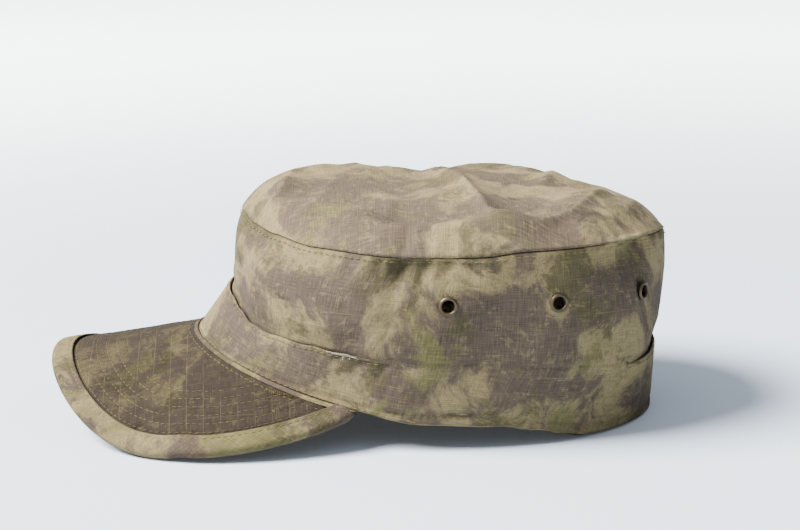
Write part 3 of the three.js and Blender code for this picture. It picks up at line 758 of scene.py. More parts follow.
def floor_material():
    look = bpy.context.scene.cap_stage
    material, tree, shader, where = new_material("Pale table cloth")
    away = add_node(
        tree, "ShaderNodeVectorMath", {0: where}, operation="LENGTH",
    ).outputs["Value"]
    # Painted light: the floor turns to a paler colour far off.
    far = soft_step(tree, away, 0.3, 1.6)
    colour = blend_colour(tree, far, (*look.floor_colour, 1), (*look.painted_far_light_colour, 1))
    tree.links.new(colour, shader["Base Color"])
    # Painted glow: the floor far off glows, and a faint glow everywhere lightens the shadows on it.
    bright = sum_up(tree, "MULTIPLY_ADD", soft_step(tree, away, 0.4, 2.6), look.painted_far_glow, 0.05)
    tree.links.new(bright, shader["Emission Strength"])
    shader["Emission Color"].default_value = (*look.painted_far_light_colour, 1)
    shader["Roughness"].default_value = 0.9
    shader["Specular IOR Level"].default_value = 0.1
    return material


# User settings

def colour_property(name, description, default):
    return FloatVectorProperty(
        name=name, description=description, default=default, size=3, min=0, max=1, subtype="COLOR",
    )


class CapClothSettings(bpy.types.PropertyGroup):
    blotch: FloatProperty(
        name="Blotch size", description="Size of the print's blotches",
        default=0.042, min=0.005, unit="LENGTH",
    )
    grid: FloatProperty(
        name="Ripstop grid", description="Distance between the strong threads",
        default=0.0076, min=0.001, unit="LENGTH",
    )
    thread: FloatProperty(
        name="Thread pitch", description="Distance between the threads of the weave",
        default=0.0007, min=0.0001, unit="LENGTH",
    )
    tuck_shift: FloatProperty(
        name="Tucked cloth", description="How far the print moves on across a full tuck",
        default=0.02, min=0, unit="LENGTH",
    )
    slub: FloatProperty(
        name="Slub", description="How uneven the threads' colour is", default=1.3, min=0, max=2,
        subtype="FACTOR",
    )
    line_strength: FloatProperty(
        name="Grid strength", description="How clearly the ripstop grid shows",
        default=0.12, min=0, max=1, subtype="FACTOR",
    )
    khaki: colour_property("Khaki", "Ground colour of the print", (0.145, 0.116, 0.059))
    brown: colour_property("Brown", "Mauve brown of the print", (0.06, 0.045, 0.034))
    olive: colour_property("Olive", "Grey olive of the print", (0.05, 0.043, 0.022))
    green: colour_property("Green", "Yellow green of the print", (0.088, 0.08, 0.032))
    dark: colour_property("Dark", "Darkest colour of the print", (0.02, 0.018, 0.015))
    line_colour: colour_property("Grid colour", "Colour of the strong threads", (0.27, 0.23, 0.15))
    worn_colour: colour_property("Worn colour", "Colour of rubbed edges", (0.25, 0.2, 0.11))


class CapThreadSettings(bpy.types.PropertyGroup):
    colour: colour_property("Thread colour", "Colour of the stitching", (0.115, 0.092, 0.028))
    stitch: FloatProperty(
        name="Stitch", description="Length of a stitch", default=0.0024, min=0.0005, unit="LENGTH",
    )
    pitch: FloatProperty(
        name="Pitch", description="Distance from stitch to stitch", default=0.0031, min=0.001,
        unit="LENGTH",
    )
    width: FloatProperty(
        name="Thread width", description="Width of the thread", default=0.00042, min=0.0001,
        unit="LENGTH",
    )


class CapStageSettings(bpy.types.PropertyGroup):
    floor_colour: colour_property("Floor", "Colour of the floor near the cap", (0.52, 0.59, 0.68))
    # Painted light: the far floor's paler colour and its glow stand in for daylight falling there.
    painted_far_light_colour: colour_property("Far floor", "Colour of the floor far off", (0.9, 0.93, 0.96))
    painted_far_glow: FloatProperty(
        name="Far glow", description="Daylight on the floor far off", default=4.0, min=0,
    )
    key_power: FloatProperty(
        name="Key light", description="Power of the main light", default=1100.0, min=0,
        unit="POWER",
    )
    fill: FloatProperty(
        name="Fill", description="Strength of the light from all round", default=0.62, min=0,
    )


# Pieces

class CAP_OT_materials(bpy.types.Operator):
    """Builds the shared node groups"""
    bl_idname = "cap.materials"
    bl_label = "Node groups"

    def execute(self, context):
        camouflage_group()
        ripstop_group()
        wear_and_shade_group()
        return {"FINISHED"}


def top_surface(x, y, angle, out):
    """The top's height with its gathers and small creases."""
    radius = math.hypot(x, y - SEAM_BACK)
    away = radius * (1 / max(out, 0.05) - 1)
    height = top_height(x, y)
    calm = smooth((1 - out) / 0.1)
    height += calm * (0.8 * crease(x, y, 3, 26) + 0.4 * crease(x, y, 9, 9))
    height += calm * top_creases(x / (SEAM_WIDTH / 2), (y - SEAM_BACK) / (SEAM_LENGTH / 2))
    return height - gather(angle, away) * TOP_GATHER * smooth(away / 3)


class CAP_OT_crown_top(bpy.types.Operator):
    """Makes the soft domed top"""
    bl_idname = "cap.crown_top"
    bl_label = "Crown top"

    def execute(self, context):
        def disc(u, v):
            a, b = 2 * u - 1, 2 * v - 1
            x, y = a * math.sqrt(1 - b * b / 2), b * math.sqrt(1 - a * a / 2)
            out = min(math.hypot(x, y), 1)
            return out, math.degrees(math.atan2(x, -y))

        def place(u, v):
            out, angle = disc(u, v)
            edge = seam_plan(angle)
            x, y = edge[0] * out, SEAM_BACK + (edge[1] - SEAM_BACK) * out
            return Vector((x, y, top_surface(x, y, angle, out)))

        def cloth(u, v):
            spot = place(u, v)
            return (spot.x * MM, spot.y * MM)

        # A pale rubbed band just inside the seam, then painted shade in the seam itself.
        def wear_and_shade(u, v):
            out, angle = disc(u, v)
            return 0.35 * smooth((out - 0.965) / 0.03) - 0.35 * smooth((out - 0.99) / 0.01)

        sheet = cloth_sheet(*TOP_GRID, place, cloth, wear_and_shade=wear_and_shade)
        face_out(sheet, Vector((0, SHIFT_Y * MM, 0.05)))
        # The top's cloth is lightened as a whole: painted light.
        material = cloth_material(
            "Cloth of the top", (0.31, 0.12, 0.05), tone_and_painted_light=1.15, grid=0.5, contrast=0.85,
        )
        piece = finish_piece("top_cloth", sheet, material, "cloth", ["crown_top"])
        thicken(piece, TOP_CLOTH)
        return {"FINISHED"}


FULL_FRONT, FULL_BACK = 62, 27


def pleat(angle):
    """How much cloth is tucked at an angle, 0 to 1."""
    turn = turn_from_front(angle)
    front = 1 - smooth((turn - FULL_FRONT) / (FRONT_REACH - FULL_FRONT))
    back = 1 - smooth((180 - FULL_BACK - turn) / (BACK_REACH - FULL_BACK))
    return max(front, back)


# Rows of the wall's cloth, from the rim up: band, folded edge, back of the fold, upper wall
BAND_ROWS, EDGE_ROWS, BACK_ROWS, UPPER_ROWS = 22, 5, 3, 50
FOLD_TOP = BAND_ROWS + EDGE_ROWS
UPPER_START = FOLD_TOP + BACK_ROWS
WALL_ROWS = UPPER_START + UPPER_ROWS
BAND_DEPTH, UPPER_DEPTH, ROW_PITCH = 26, 50, 0.6
TUCK_ROLL, TUCK_SUNK, SEAM_LIP = 0.5, 3.2, 0.7
FLAT_LIFT = 0.22
HEM_AT, HEM_SPREAD, HEM_DEPTH = 3.2, 0.8, 0.5
WALL_RIPPLE = 0.45
ROW_TURN = 0.65


# Short puckers under the tucks' ends: (angle, width in degrees, depth, share of the band)
PUCKERS = (
    (72.5, 1.5, 1.1, 0.32), (78.3, 1.3, 1.5, 0.38), (83, 1.6, 0.7, 0.3), (66, 1.4, 0.5, 0.25),
    (141, 1.8, 0.8, 0.3), (219, 1.8, 0.8, 0.3), (281.5, 1.3, 1.3, 0.35), (287, 1.5, 0.9, 0.3),
    (294, 1.4, 0.5, 0.25),
)


# Short pressed creases over the rim: (angle, half length in degrees, row, depth)
RIM_CREASES = ((81.5, 2.6, 3, 0.8), (96, 3.2, 4, 2.0), (255, 3, 4, 0.9), (284, 2.4, 3, 0.7))


def rim_crease(angle, row):
    total = 0
    for at, half, height, depth in RIM_CREASES:
        aside = wrap(angle - at) / half
        total += depth * math.exp(-aside ** 4) * math.exp(-(((row - height) / 0.8) ** 2))
    return total


# Soft hollows of the upper wall: from angle, row to angle, row, width in degrees, depth
WALL_HOLLOWS = (
    (103, 66, 89, 31, 4.2, 2.6), (86, 58, 65, 36, 3.5, 1.0), (150, 44, 141, 76, 2.6, 1.5),
    (126, 74, 133, 50, 4.0, 0.9), (40, 70, 52, 45, 5.0, 0.8), (205, 70, 216, 44, 3.5, 1.3),
    (262, 60, 283, 36, 4.5, 1.2), (318, 68, 306, 42, 5.0, 1.0), (180, 72, 176, 50, 6.0, 0.8),
)


def wall_hollow(angle, row):
    total = 0
    for at, low, end, high, width, depth in WALL_HOLLOWS:
        aside, above = wrap(angle - at), (row - low) * ROW_TURN
        away, place = off_line(aside, above, 0, 0, end - at, (high - low) * ROW_TURN)
        away /= width
        total += depth * math.exp(-away * away) * (0.4 + 0.6 * math.sin(math.pi * place))
    return total


def tuck_pucker(angle, below):
    total = 0
    for at, width, depth, reach in PUCKERS:
        aside = wrap(angle - at + 6 * below) / width
        if abs(aside) < 3:
            total += depth * math.exp(-aside * aside) * math.exp(-((below / reach) ** 2))
    return total * smooth(below / 0.06)


def hem_groove(height):
    """The sewn line round the rim, 0 to 1, at a height in mm up the band."""
    return math.exp(-(((height - HEM_AT) / HEM_SPREAD) ** 2))


def wall_ripple(point):
    return WALL_RIPPLE * crease(point.x, point.y, point.z * 0.7, 16)


def wall_surface(angle, row):
    """A place on the wall's cloth, row by row: band, folded edge, back of the fold, upper wall."""
    amount, out = pleat(angle), outward(angle)
    loose, held = 1 - amount, 1 - 0.6 * amount
    if row <= BAND_ROWS:
        level = row / BAND_ROWS
        point = wall_point(angle, level, 0)
        ripple = wall_ripple(point) * smooth(level * 4) * held
        hem = HEM_DEPTH * hem_groove(level * BAND_DEPTH)
        return point + out * (ripple - hem - tuck_pucker(angle, 1 - level) - rim_crease(angle, row))
    edge = wall_point(angle, 1, 0)
    edge += out * wall_ripple(edge) * held
    roll = TUCK_ROLL * amount
    if row <= FOLD_TOP:
        turn = math.pi * (row - BAND_ROWS) / EDGE_ROWS
        lift = roll * math.sin(turn) + FLAT_LIFT * (row - BAND_ROWS) * loose
        return edge - out * roll * (1 - math.cos(turn)) + Vector((0, 0, lift))
    sunk = TUCK_SUNK * amount
    if row <= UPPER_START:
        part = (row - FOLD_TOP) / BACK_ROWS
        lift = FLAT_LIFT * (EDGE_ROWS + part * BACK_ROWS) * loose
        return edge - out * (2 * roll + 0.5 * amount * part) + Vector((0, 0, lift - sunk * part))
    part = (row - UPPER_START) / UPPER_ROWS
    start = FLAT_LIFT * (EDGE_ROWS + BACK_ROWS) * loose - sunk
    reach = seam_level(angle) - edge.z
    level = 1 + mix(start / reach, 1, part)
    above = max(level, 1)
    behind = (2 * roll + 0.9 * amount) * (1 - smooth((above - 1.03) / 0.22))
    point = wall_point(angle, above, behind)
    if level < 1:
        point.z = edge.z + (level - 1) * reach
    away = (2 - level) * reach
    ripple = wall_ripple(point) + 0.2 * crease(point.x, point.y, point.z, 7)
    ripple -= wall_hollow(angle, row) * smooth((above - 1) / 0.15)
    ripple *= smooth((2 - above) * reach / 5)
    point += out * (ripple - gather(angle, away) * smooth(away / 2.5))
    return point - out * (SEAM_LIP * smooth(1 - away))


# mm of cloth cut away round an eyelet's hole, under its ring
EYELET_CLEAR = 0.7


class CAP_OT_side_wall(bpy.types.Operator):
    """Makes the wall with its tucks at the front and back"""
    bl_idname = "cap.side_wall"
    bl_label = "Side wall"

    def execute(self, context):
        def place(u, v):
            return wall_surface(360 * u, round(v * WALL_ROWS))

        def cloth(u, v):
            row = round(v * WALL_ROWS)
            height = min(row, BAND_ROWS) / BAND_ROWS * BAND_DEPTH
            if row > BAND_ROWS:
                height += min(row - BAND_ROWS, EDGE_ROWS + BACK_ROWS) * ROW_PITCH
            if row > UPPER_START:
                height += (row - UPPER_START) / UPPER_ROWS * UPPER_DEPTH
            return (u * WALL_ROUND * MM, height * MM)

        def wear_and_shade(u, v):
            # Wear makes the tuck's folded edge and the rim's hem paler. Painted shadow fills the
            # slit under the tuck's edge, and painted shade lies under the top seam, in the hem's
            # groove and in the rim's creases.
            row, angle = round(v * WALL_ROWS), 360 * u
            amount = pleat(angle)
            edge = math.exp(-((row - BAND_ROWS - 1.2) / 0.9) ** 2) * amount
            hem = math.exp(-(row / 0.9) ** 2)
            hidden = row - BAND_ROWS
            slit_shadow = -0.9 * amount * smooth((hidden - 3) / 2) * smooth((14 - hidden) / 5)
            seam = -0.5 * smooth((row - WALL_ROWS + 1.0) / 1.0)
            groove = -0.25 * hem_groove(row * BAND_DEPTH / BAND_ROWS)
            return 0.5 * edge + 0.3 * hem + slit_shadow + seam + groove - 0.5 * rim_crease(angle, row)

        sheet = cloth_sheet(WALL_COLUMNS, WALL_ROWS, place, cloth, looped=True, wear_and_shade=wear_and_shade)
        folded = sheet.verts.layers.float.new("tucked")
        middle = Vector((0, SHIFT_Y * MM, 0))
        for vert in sheet.verts:
            spot = vert.co / MM - Vector((0, SHIFT_Y, 0))
            across, ahead = spot.x / TUCK_WIDTH, -(spot.y - TUCK_BACK) / TUCK_LENGTH
            angle = math.degrees(math.atan2(across, ahead))
            above = smooth((spot.z - tuck_height(angle) - 0.3) / 0.5)
            vert[folded] = pleat(angle) * above
        face_out(sheet, middle)
        seats = [seat for seat, _ in eyelet_seats()]
        clear = (EYELET_HOLE / 2 + EYELET_CLEAR) * MM
        cut = [
            face for face in sheet.faces
            if any((face.calc_center_median() - seat).length < clear for seat in seats)
        ]
        bmesh.ops.delete(sheet, geom=cut, context="FACES")
        material = cloth_material("Cloth of the wall", (0.02, 0.4, 0.11), tuck=True)
        piece = finish_piece(
            "wall_cloth", sheet, material, "cloth", ["side_wall", "front_band", "back_band"],
        )
        thicken(piece, WALL_CLOTH)
        return {"FINISHED"}


def eyelet_seats():
    """Place and turn of each eyelet, +Z of the turn pointing out of the wall."""
    seats = []
    for angle in [*EYELET_ANGLES, *[360 - angle for angle in EYELET_ANGLES]]:
        level = 1 + EYELET_LEVEL
        place = wall_point(angle, level, 0)
        aside = wall_point(angle + 2, level, 0) - wall_point(angle - 2, level, 0)
        upward = wall_point(angle, level + 0.04, 0) - wall_point(angle, level - 0.04, 0)
        normal = aside.cross(upward).normalized()
        if normal.dot(outward(angle)) < 0:
            normal.negate()
        seats.append((to_mesh_place(place), normal.to_track_quat("Z", "Y").to_matrix().to_4x4()))
    return seats


class CAP_OT_rim_band(bpy.types.Operator):
    """Makes the folded band inside the rim"""
    bl_idname = "cap.rim_band"
    bl_label = "Rim band"

    def execute(self, context):
        def place(u, v):
            angle = 360 * u
            show = RIM_BAND_SHOW * smooth((turn_from_front(angle) - PEAK_CORNER - 3) / 6)
            behind = CLOTH + GAP
            top = RIM_BAND_HEIGHT / (tuck_height(angle) - rim_height(angle))
            down = 2 * v if v < 0.5 else 2 - 2 * v
            side = 0 if v < 0.5 else RIM_BAND_WALL
            level = min(top, 1) * (1 - down)
            point = wall_point(angle, max(level, 0), behind + side)
            round_in = 0.6 * math.sin(math.pi * min(abs(v - 0.5) * 8, 1) / 2)
            point.z -= (show - 0.02) * down ** 3
            return point - outward(angle) * (0.4 - round_in if v < 0.5 else round_in - 0.6)

        def cloth(u, v):
            return (u * RIM_ROUND * MM, v * 2 * RIM_BAND_HEIGHT * MM)

        def wear_and_shade(u, v):
            return 0.7 * math.exp(-((abs(v - 0.5) / 0.06) ** 2))

        sheet = cloth_sheet(*RIM_GRID, place, cloth, looped=True, wear_and_shade=wear_and_shade)
        bmesh.ops.recalc_face_normals(sheet, faces=sheet.faces)
        # The rim band's cloth is lightened as a whole: painted light.
        material = cloth_material("Cloth of the rim band", (0.5, 0.2, 0.33), tone_and_painted_light=1.15)
        finish_piece("rim_cloth", sheet, material, "cloth", ["rim_band"])
        return {"FINISHED"}


QUILT_START, QUILT_PITCH, QUILT_ROWS = 10.4, 4.85, 6
PEAK_STEP, PEAK_END, PEAK_LAP = 0.9, 0.012, 5.2
PEAK_MIDDLE = Vector((0, -60))
BINDING_LINE = 9.2


def edge_line(share):
    """Board edge point, inward direction in plan."""
    here = Vector(peak_outline(share))
    ahead = Vector(peak_outline(share + 0.002)) - Vector(peak_outline(share - 0.002))
    inward = Vector((-ahead.y, ahead.x)).normalized()
    if inward.dot(PEAK_MIDDLE - here) < 0:
        inward.negate()
    return here, inward


def step_in(spot, inward, step):
    """The next plan place inward over the peak's face, and whether the rim stops it."""
    rise = peak_top(*(spot + inward * 0.5)) - peak_top(*spot)
    onward = spot + inward * step / math.sqrt(1 + 4 * rise * rise)
    across = onward.x / (RIM_WIDTH / 2 - PEAK_LAP)
    stopped = across ** 2 + (onward.y / (RIM_LENGTH / 2 - PEAK_LAP)) ** 2 < 1
    return (spot, True) if stopped else (onward, False)


def in_from_edge(share, distance):
    """Plan place at a distance along the peak's face in from its edge, no further than the rim."""
    spot, inward = edge_line(share)
    gone = 0.0
    while gone < distance:
        step = min(PEAK_STEP, distance - gone)
        spot, stopped = step_in(spot, inward, step)
        if stopped:
            return spot, True
        gone += step
    return spot, False


def quilting(distance):
    """Depth of the sewn grooves at a distance in from the edge."""
    depth = 0
    for i in range(QUILT_ROWS):
        depth += 0.2 * math.exp(-(((distance - QUILT_START - i * QUILT_PITCH) / 0.7) ** 2))
    return depth


# Small puckers of the peak: from x, y to x, y, width and height in mm
PEAK_PUCKERS = (
    (68.8, -54.1, 76.2, -49.3, 1.1, 0.9), (71.0, -58.0, 78.2, -53.2, 1.2, 0.8),
    (65.5, -70.0, 75.0, -67.6, 1.2, -0.6), (69.5, -55.6, 74.8, -66.2, 1.1, 0.6),
    (72.0, -127.1, 73.1, -131.2, 1.0, -1.3), (-69.0, -57.0, -77.0, -52.5, 1.2, 0.5),
)


def peak_pucker(x, y):
    total = 0
    for *line, width, height in PEAK_PUCKERS:
        away = off_line(x, y, *line)[0] / width
        total += height * math.exp(-away * away)
    return total


class CAP_OT_peak(bpy.types.Operator):
    """Makes the quilted peak"""
    bl_idname = "cap.peak"
    bl_label = "Peak"

    def execute(self, context):
        lines = []
        for i in range(PEAK_COLUMNS + 1):
            spot, inward = edge_line(mix(PEAK_END, 1 - PEAK_END, i / PEAK_COLUMNS))
            spots = [spot]
            for row in range(PEAK_ROWS):
                spot, _ = step_in(spot, inward, PEAK_STEP)
                spots.append(spot)
            lines.append(spots)

        def spot_at(u, v):
            """Plan place, and its row: over the face above 0, the edge at 0, underneath below 0."""
            j = round(v * (2 * PEAK_ROWS + 1)) - PEAK_ROWS
            return lines[round(u * PEAK_COLUMNS)][min(abs(j), PEAK_ROWS)], j

        def place(u, v):
            spot, j = spot_at(u, v)
            distance = abs(j) * PEAK_STEP
            groove = quilting(distance) + 0.6 * math.exp(-(((distance - BINDING_LINE) / 0.9) ** 2))
            soft = 0.25 * crease(spot.x, spot.y, 5, 14) + 0.12 * crease(spot.x, spot.y, 2, 6)
            soft += peak_pucker(spot.x, spot.y) if j > 0 else 0
            if 0 < j <= PEAK_ROWS:
                return on_peak(spot.x, spot.y, soft - groove)
            if j == 0:
                return on_peak(spot.x, spot.y, -PEAK_BOARD / 2)
            return on_peak(spot.x, spot.y, -PEAK_BOARD + groove * 0.8 + soft * 0.5)

        def cloth(u, v):
            spot, j = spot_at(u, v)
            return (spot.x * 1.2 * MM, (spot.y - 0.1 * abs(spot.x)) * MM)

        def wear_and_shade(u, v):
            # Painted shade in the quilting's grooves and along the binding's sewn line.
            distance = abs(spot_at(u, v)[1]) * PEAK_STEP
            return -0.7 * quilting(distance) - 0.7 * math.exp(-((distance - 9.0) / 0.8) ** 2)

        sheet = cloth_sheet(
            PEAK_COLUMNS, 2 * PEAK_ROWS + 1, place, cloth, looped=True, wear_and_shade=wear_and_shade,
        )
        bmesh.ops.dissolve_degenerate(sheet, edges=sheet.edges, dist=SAME_PLACE)
        close_ends(sheet)
        # The peak's cloth is darkened as a whole: painted shade, with its darker cloth as well.
        material = cloth_material("Cloth of the peak", (0.74, 0.31, 0.17), tone_and_painted_light=0.36, brown=0.13)
        finish_piece("peak_cloth", sheet, material, "peak_cloth", ["peak"])
        return {"FINISHED"}


# The binding's stitches, in from its own edge
BINDING_SEAM = 1.9


def binding_width(share):
    return mix(BINDING_WIDTH, BINDING_SIDE, abs(2 * share - 1) ** 2)


def binding_section(share):
    """(distance in from the board's edge, height over the board's face) round the folded strip."""
    width = binding_width(share)
    half = PEAK_BOARD / 2
    outer = half + 0.5 * BINDING_SPACE + BINDING_CLOTH
    lip = [(width + 0.1, 0.55), (width - 0.05, 0.95), (width - 0.5, outer - half)]
    flat = [(mix(width - 1.2, 1.6, i / 6), outer - half) for i in range(7)]
    points = lip + flat
    for i in range(1, 12):
        turn = math.pi * i / 12
        points.append((1.2 - (1.2 + OVERHANG) * math.sin(turn), outer * math.cos(turn) - half))
    under = [(inset, -PEAK_BOARD - height) for inset, height in flat[::-1] + lip[::-1]]
    return points + under


class CAP_OT_peak_binding(bpy.types.Operator):
    """Makes the bias strip folded over the peak's edge"""
    bl_idname = "cap.peak_binding"
    bl_label = "Peak binding"

    def execute(self, context):
        count = len(binding_section(0.5))

        def place(u, v):
            share = mix(0.004, 0.996, u)
            inset, height = binding_section(share)[round(v * (count - 1))]
            here, inward = edge_line(share)
            rise = peak_top(*(here + inward)) - peak_top(*here)
            along = abs(2 * share - 1)
            tucked = 1.5 * smooth((along - 0.95) / 0.05)
            height = mix(height, -PEAK_BOARD / 2, 0.85 * smooth((along - 0.972) / 0.02))
            spot = here + inward * (inset + tucked) / math.sqrt(1 + rise * rise)
            pucker = 0.16 * crease(here.x, here.y, v * 6, 5) + 0.2 * crease(here.x, here.y, 4, 11)
            seam = binding_width(share) - BINDING_SEAM
            sewn = 0.3 * math.exp(-(((inset - seam) / 0.6) ** 2))
            side = 1 if height > -PEAK_BOARD / 2 else -1
            return on_peak(spot.x, spot.y, height + side * (pucker * 0.7 - sewn))

        def cloth(u, v):
            return (u * 0.36, v * 0.028)

        def wear_and_shade(u, v):
            index = round(v * (count - 1))
            edge = math.exp(-(((index - 15) / 3) ** 2))
            lip = math.exp(-(((index - 2) / 0.8) ** 2))
            # Paler with wear at the folded edge and the lip; painted shade along the strip's inner
            # edge against the peak.
            return 0.3 * edge + 0.2 * lip - (0.9 if index == 0 else 0)

        sheet = cloth_sheet(BINDING_COLUMNS, count - 1, place, cloth, wear_and_shade=wear_and_shade)
        middle = sum((face.calc_center_median() for face in sheet.faces), Vector())
        face_out(sheet, middle / len(sheet.faces))
        material = cloth_material(
            "Cloth of the binding", (0.14, 0.33, 0.02), bias=math.pi / 4, tone_and_painted_light=0.85, grid=0.4,
            brown=-0.02,
        )
        piece = finish_piece("binding_cloth", sheet, material, "binding", ["peak_binding"])
        thicken(piece, STRIP_CLOTH)
        return {"FINISHED"}


# Two ridges side by side: middle, half width and half height in mm
WELT_RIDGES = ((0.95, 0.75, 0.55), (1.85, 0.4, 0.4))


def joint_spot(angle, out, height):
    normal, place = outward(angle), rim_plan(angle)
    x, y = place[0] + normal.x * out, place[1] + normal.y * out
    return on_peak(x, y, height)


class CAP_OT_joint_welt(bpy.types.Operator):
    """Makes the doubled edge where the band meets the peak"""
    bl_idname = "cap.joint_welt"
    bl_label = "Joint welt"

    def execute(self, context):
        reach = PEAK_CORNER - 1.5
        whole = bmesh.new()
        for middle, half_width, lift in WELT_RIDGES:
            def place(u, v):
                angle = mix(-reach, reach, u)
                turn = math.tau * v
                spot = rim_plan(angle)
                uneven = 0.12 * crease(spot[0], spot[1], middle, 8)
                full = 0.15 + 0.85 * smooth((reach - abs(angle)) / 5)
                out = full * (middle + half_width * math.cos(turn) + uneven)
                return joint_spot(angle, out, full * lift * (1 + math.sin(turn)) + 0.1)

            # The mark darkens the underside of each ridge: painted shade.
            sheet = cloth_sheet(
                *WELT_GRID, place, lambda u, v: (u * 0.22, v * 0.007), looped=True,
                wear_and_shade=lambda u, v: 0.3 * math.sin(math.tau * v) - 0.15,
            )
            close_ends(sheet)
            join_in(whole, sheet)
        material = cloth_material("Cloth of the welt", (0.6, 0.5, 0.1), bias=math.pi / 4, tone_and_painted_light=0.9)
        finish_piece("welt_cloth", whole, material, "binding", ["joint_welt"])
        return {"FINISHED"}


class CAP_OT_eyelets(bpy.types.Operator):
    """Makes the clenched metal eyelets"""
    bl_idname = "cap.eyelets"
    bl_label = "Eyelets"

    def execute(self, context):
        hole, flange = EYELET_HOLE / 2, EYELET_FLANGE / 2
        profile = [
            (hole, -2.0), (hole, 0.25), (hole + 0.12, 0.6), (hole + 0.45, 0.92), (hole + 0.85, 1.0),
            (flange - 0.6, 0.86), (flange - 0.15, 0.6), (flange, 0.3), (flange - 0.1, 0.05),
            (hole + 0.6, -0.15), (hole + 0.6, -1.55), (flange - 0.5, -1.75), (flange - 0.4, -2.05),
            (hole + 0.5, -2.2),
        ]
        material = brass_material()
        nodes = [f"eyelet_{side}_{i}" for side in ("left", "right") for i in (1, 2, 3)]
        for node, (seat, turn) in zip(nodes, eyelet_seats()):
            ring = bmesh.new()
            bright = ring.verts.layers.float.new("wear_and_shade")
            points = [ring.verts.new((radius * MM, 0, height * MM)) for radius, height in profile]
            for point, (radius, height) in zip(points, profile):
                point[bright] = 1 if height > 0.55 else 0
            edges = [ring.edges.new(pair) for pair in zip(points, points[1:] + points[:1])]
            bmesh.ops.spin(
                ring, geom=points + edges, cent=(0, 0, 0), axis=(0, 0, 1), dvec=(0, 0, 0),
                angle=math.tau, steps=36, use_merge=True, use_duplicate=False,
            )
            bmesh.ops.remove_doubles(ring, verts=ring.verts, dist=SAME_PLACE)
            bmesh.ops.recalc_face_normals(ring, faces=ring.faces)
            bmesh.ops.transform(ring, matrix=Matrix.Translation(seat) @ turn, verts=ring.verts)
            finish_piece(node.replace("eyelet", "brass"), ring, material, "brass", [node])
        return {"FINISHED"}


# A stitch's height as a share of its width, and how many vertices are gathered at a time
STITCH_HEIGHT, BATCH = 0.42, 500


def sew(stitches, path, chance, jitter, skip, fine):
    """Lays stitches along a path of (place in metres, direction up out of the cloth).

    Jitter turns them at random, skip is the share left out and fine a factor of their width.
    """
    sewn = bmesh.new()
    thread = bpy.context.scene.cap_thread
    width = fine * thread.width
    size = Matrix.Diagonal((thread.stitch / 2, width / 2, width * STITCH_HEIGHT, 1))
    gone, due = 0.0, thread.pitch / 2
    for (here, up), (there, _) in zip(path, path[1:]):
        run = (there - here).length
        while run > 0 and gone + run > due:
            spot = here.lerp(there, (due - gone) / run)
            due += thread.pitch * (1 + chance.uniform(-0.12, 0.12))
            if chance.random() < skip:
                continue
            along = (there - here).normalized()
            along = (along + up.cross(along) * chance.uniform(-jitter, jitter)).normalized()
            aside = up.cross(along).normalized()
            over = along.cross(aside)
            basis = Matrix((along, aside, over)).transposed().to_4x4()
            bmesh.ops.create_uvsphere(
                sewn, u_segments=6, v_segments=5, radius=1,
                matrix=Matrix.Translation(spot) @ basis @ size,
            )
            if len(sewn.verts) > BATCH:
                join_in(stitches, sewn)
                sewn = bmesh.new()
        gone += run
    join_in(stitches, sewn)


def path_on_wall(angles, row, lift):
    path = []
    for angle in angles:
        place = wall_surface(angle, row)
        aside = wall_surface(angle + 0.5, row) - wall_surface(angle - 0.5, row)
        upward = wall_surface(angle, row + 0.5) - wall_surface(angle, row - 0.5)
        up = aside.cross(upward).normalized()
        if up.dot(outward(angle)) < 0:
            up.negate()
        path.append((to_mesh_place(place + up * lift), up))
    return path


def strand(whole, path, radius):
    """A thin round thread along places in metres."""
    sides, rings = 5, []
    for i, here in enumerate(path):
        along = (path[min(i + 1, len(path) - 1)] - path[max(i - 1, 0)]).normalized()
        aside = along.orthogonal().normalized()
        over = along.cross(aside)
        rings.append([
            whole.verts.new(here + radius * (
                aside * math.cos(math.tau * k / sides) + over * math.sin(math.tau * k / sides)
            ))
            for k in range(sides)
        ])
    for first, second in zip(rings, rings[1:]):
        for k in range(sides):
            whole.faces.new((first[k], first[(k + 1) % sides], second[(k + 1) % sides], second[k]))
    whole.faces.new(rings[0])
    whole.faces.new(rings[-1])


def finish_threads(name, threads, material, slot):
    bmesh.ops.recalc_face_normals(threads, faces=threads.faces)
    finish_piece(name, threads, material, slot)


def steps(low, high, count):
    return [mix(low, high, i / count) for i in range(count + 1)]


# Bar tacks on the peak, each a dense zigzag: from x, y to x, y in mm
TACK_WIDTH = 1.7
TACK_TURNS = 30
BAR_TACKS = (
    ((75.2, -68.3), (69.5, -55.6)), ((65.1, -70.5), (68.6, -57.5)), ((-75, -68), (-69.5, -56)),
)
# Where rows of stitches run: rows of the wall's cloth, and mm out from the joint
SEAM_ROW, TUCK_ROW, RIM_ROW, PEAK_RIM_ROW = WALL_ROWS - 2.0, BAND_ROWS - 1.0, 2.6, 0.8
JOINT_OUT, JOINT_MARGIN = 4.4, 8


def rim_row(angle):
    """Row of the rim's stitches, lower where the peak is."""
    return mix(PEAK_RIM_ROW, RIM_ROW, smooth((turn_from_front(angle) - 74) / 8))


def quilting_path(distance):
    """A row of stitches on the peak at a distance in from its edge, up to the rim."""
    path = []
    for share in steps(0.03, 0.97, 260):
        spot, stopped = in_from_edge(share, distance)
        across, along = spot.x / (RIM_WIDTH / 2 + 3.5), spot.y / (RIM_LENGTH / 2 + 3.5)
        if not stopped and across ** 2 + along ** 2 >= 1:
            path.append((to_mesh_place(on_peak(*spot, -0.08)), peak_normal(*spot)))
    return path


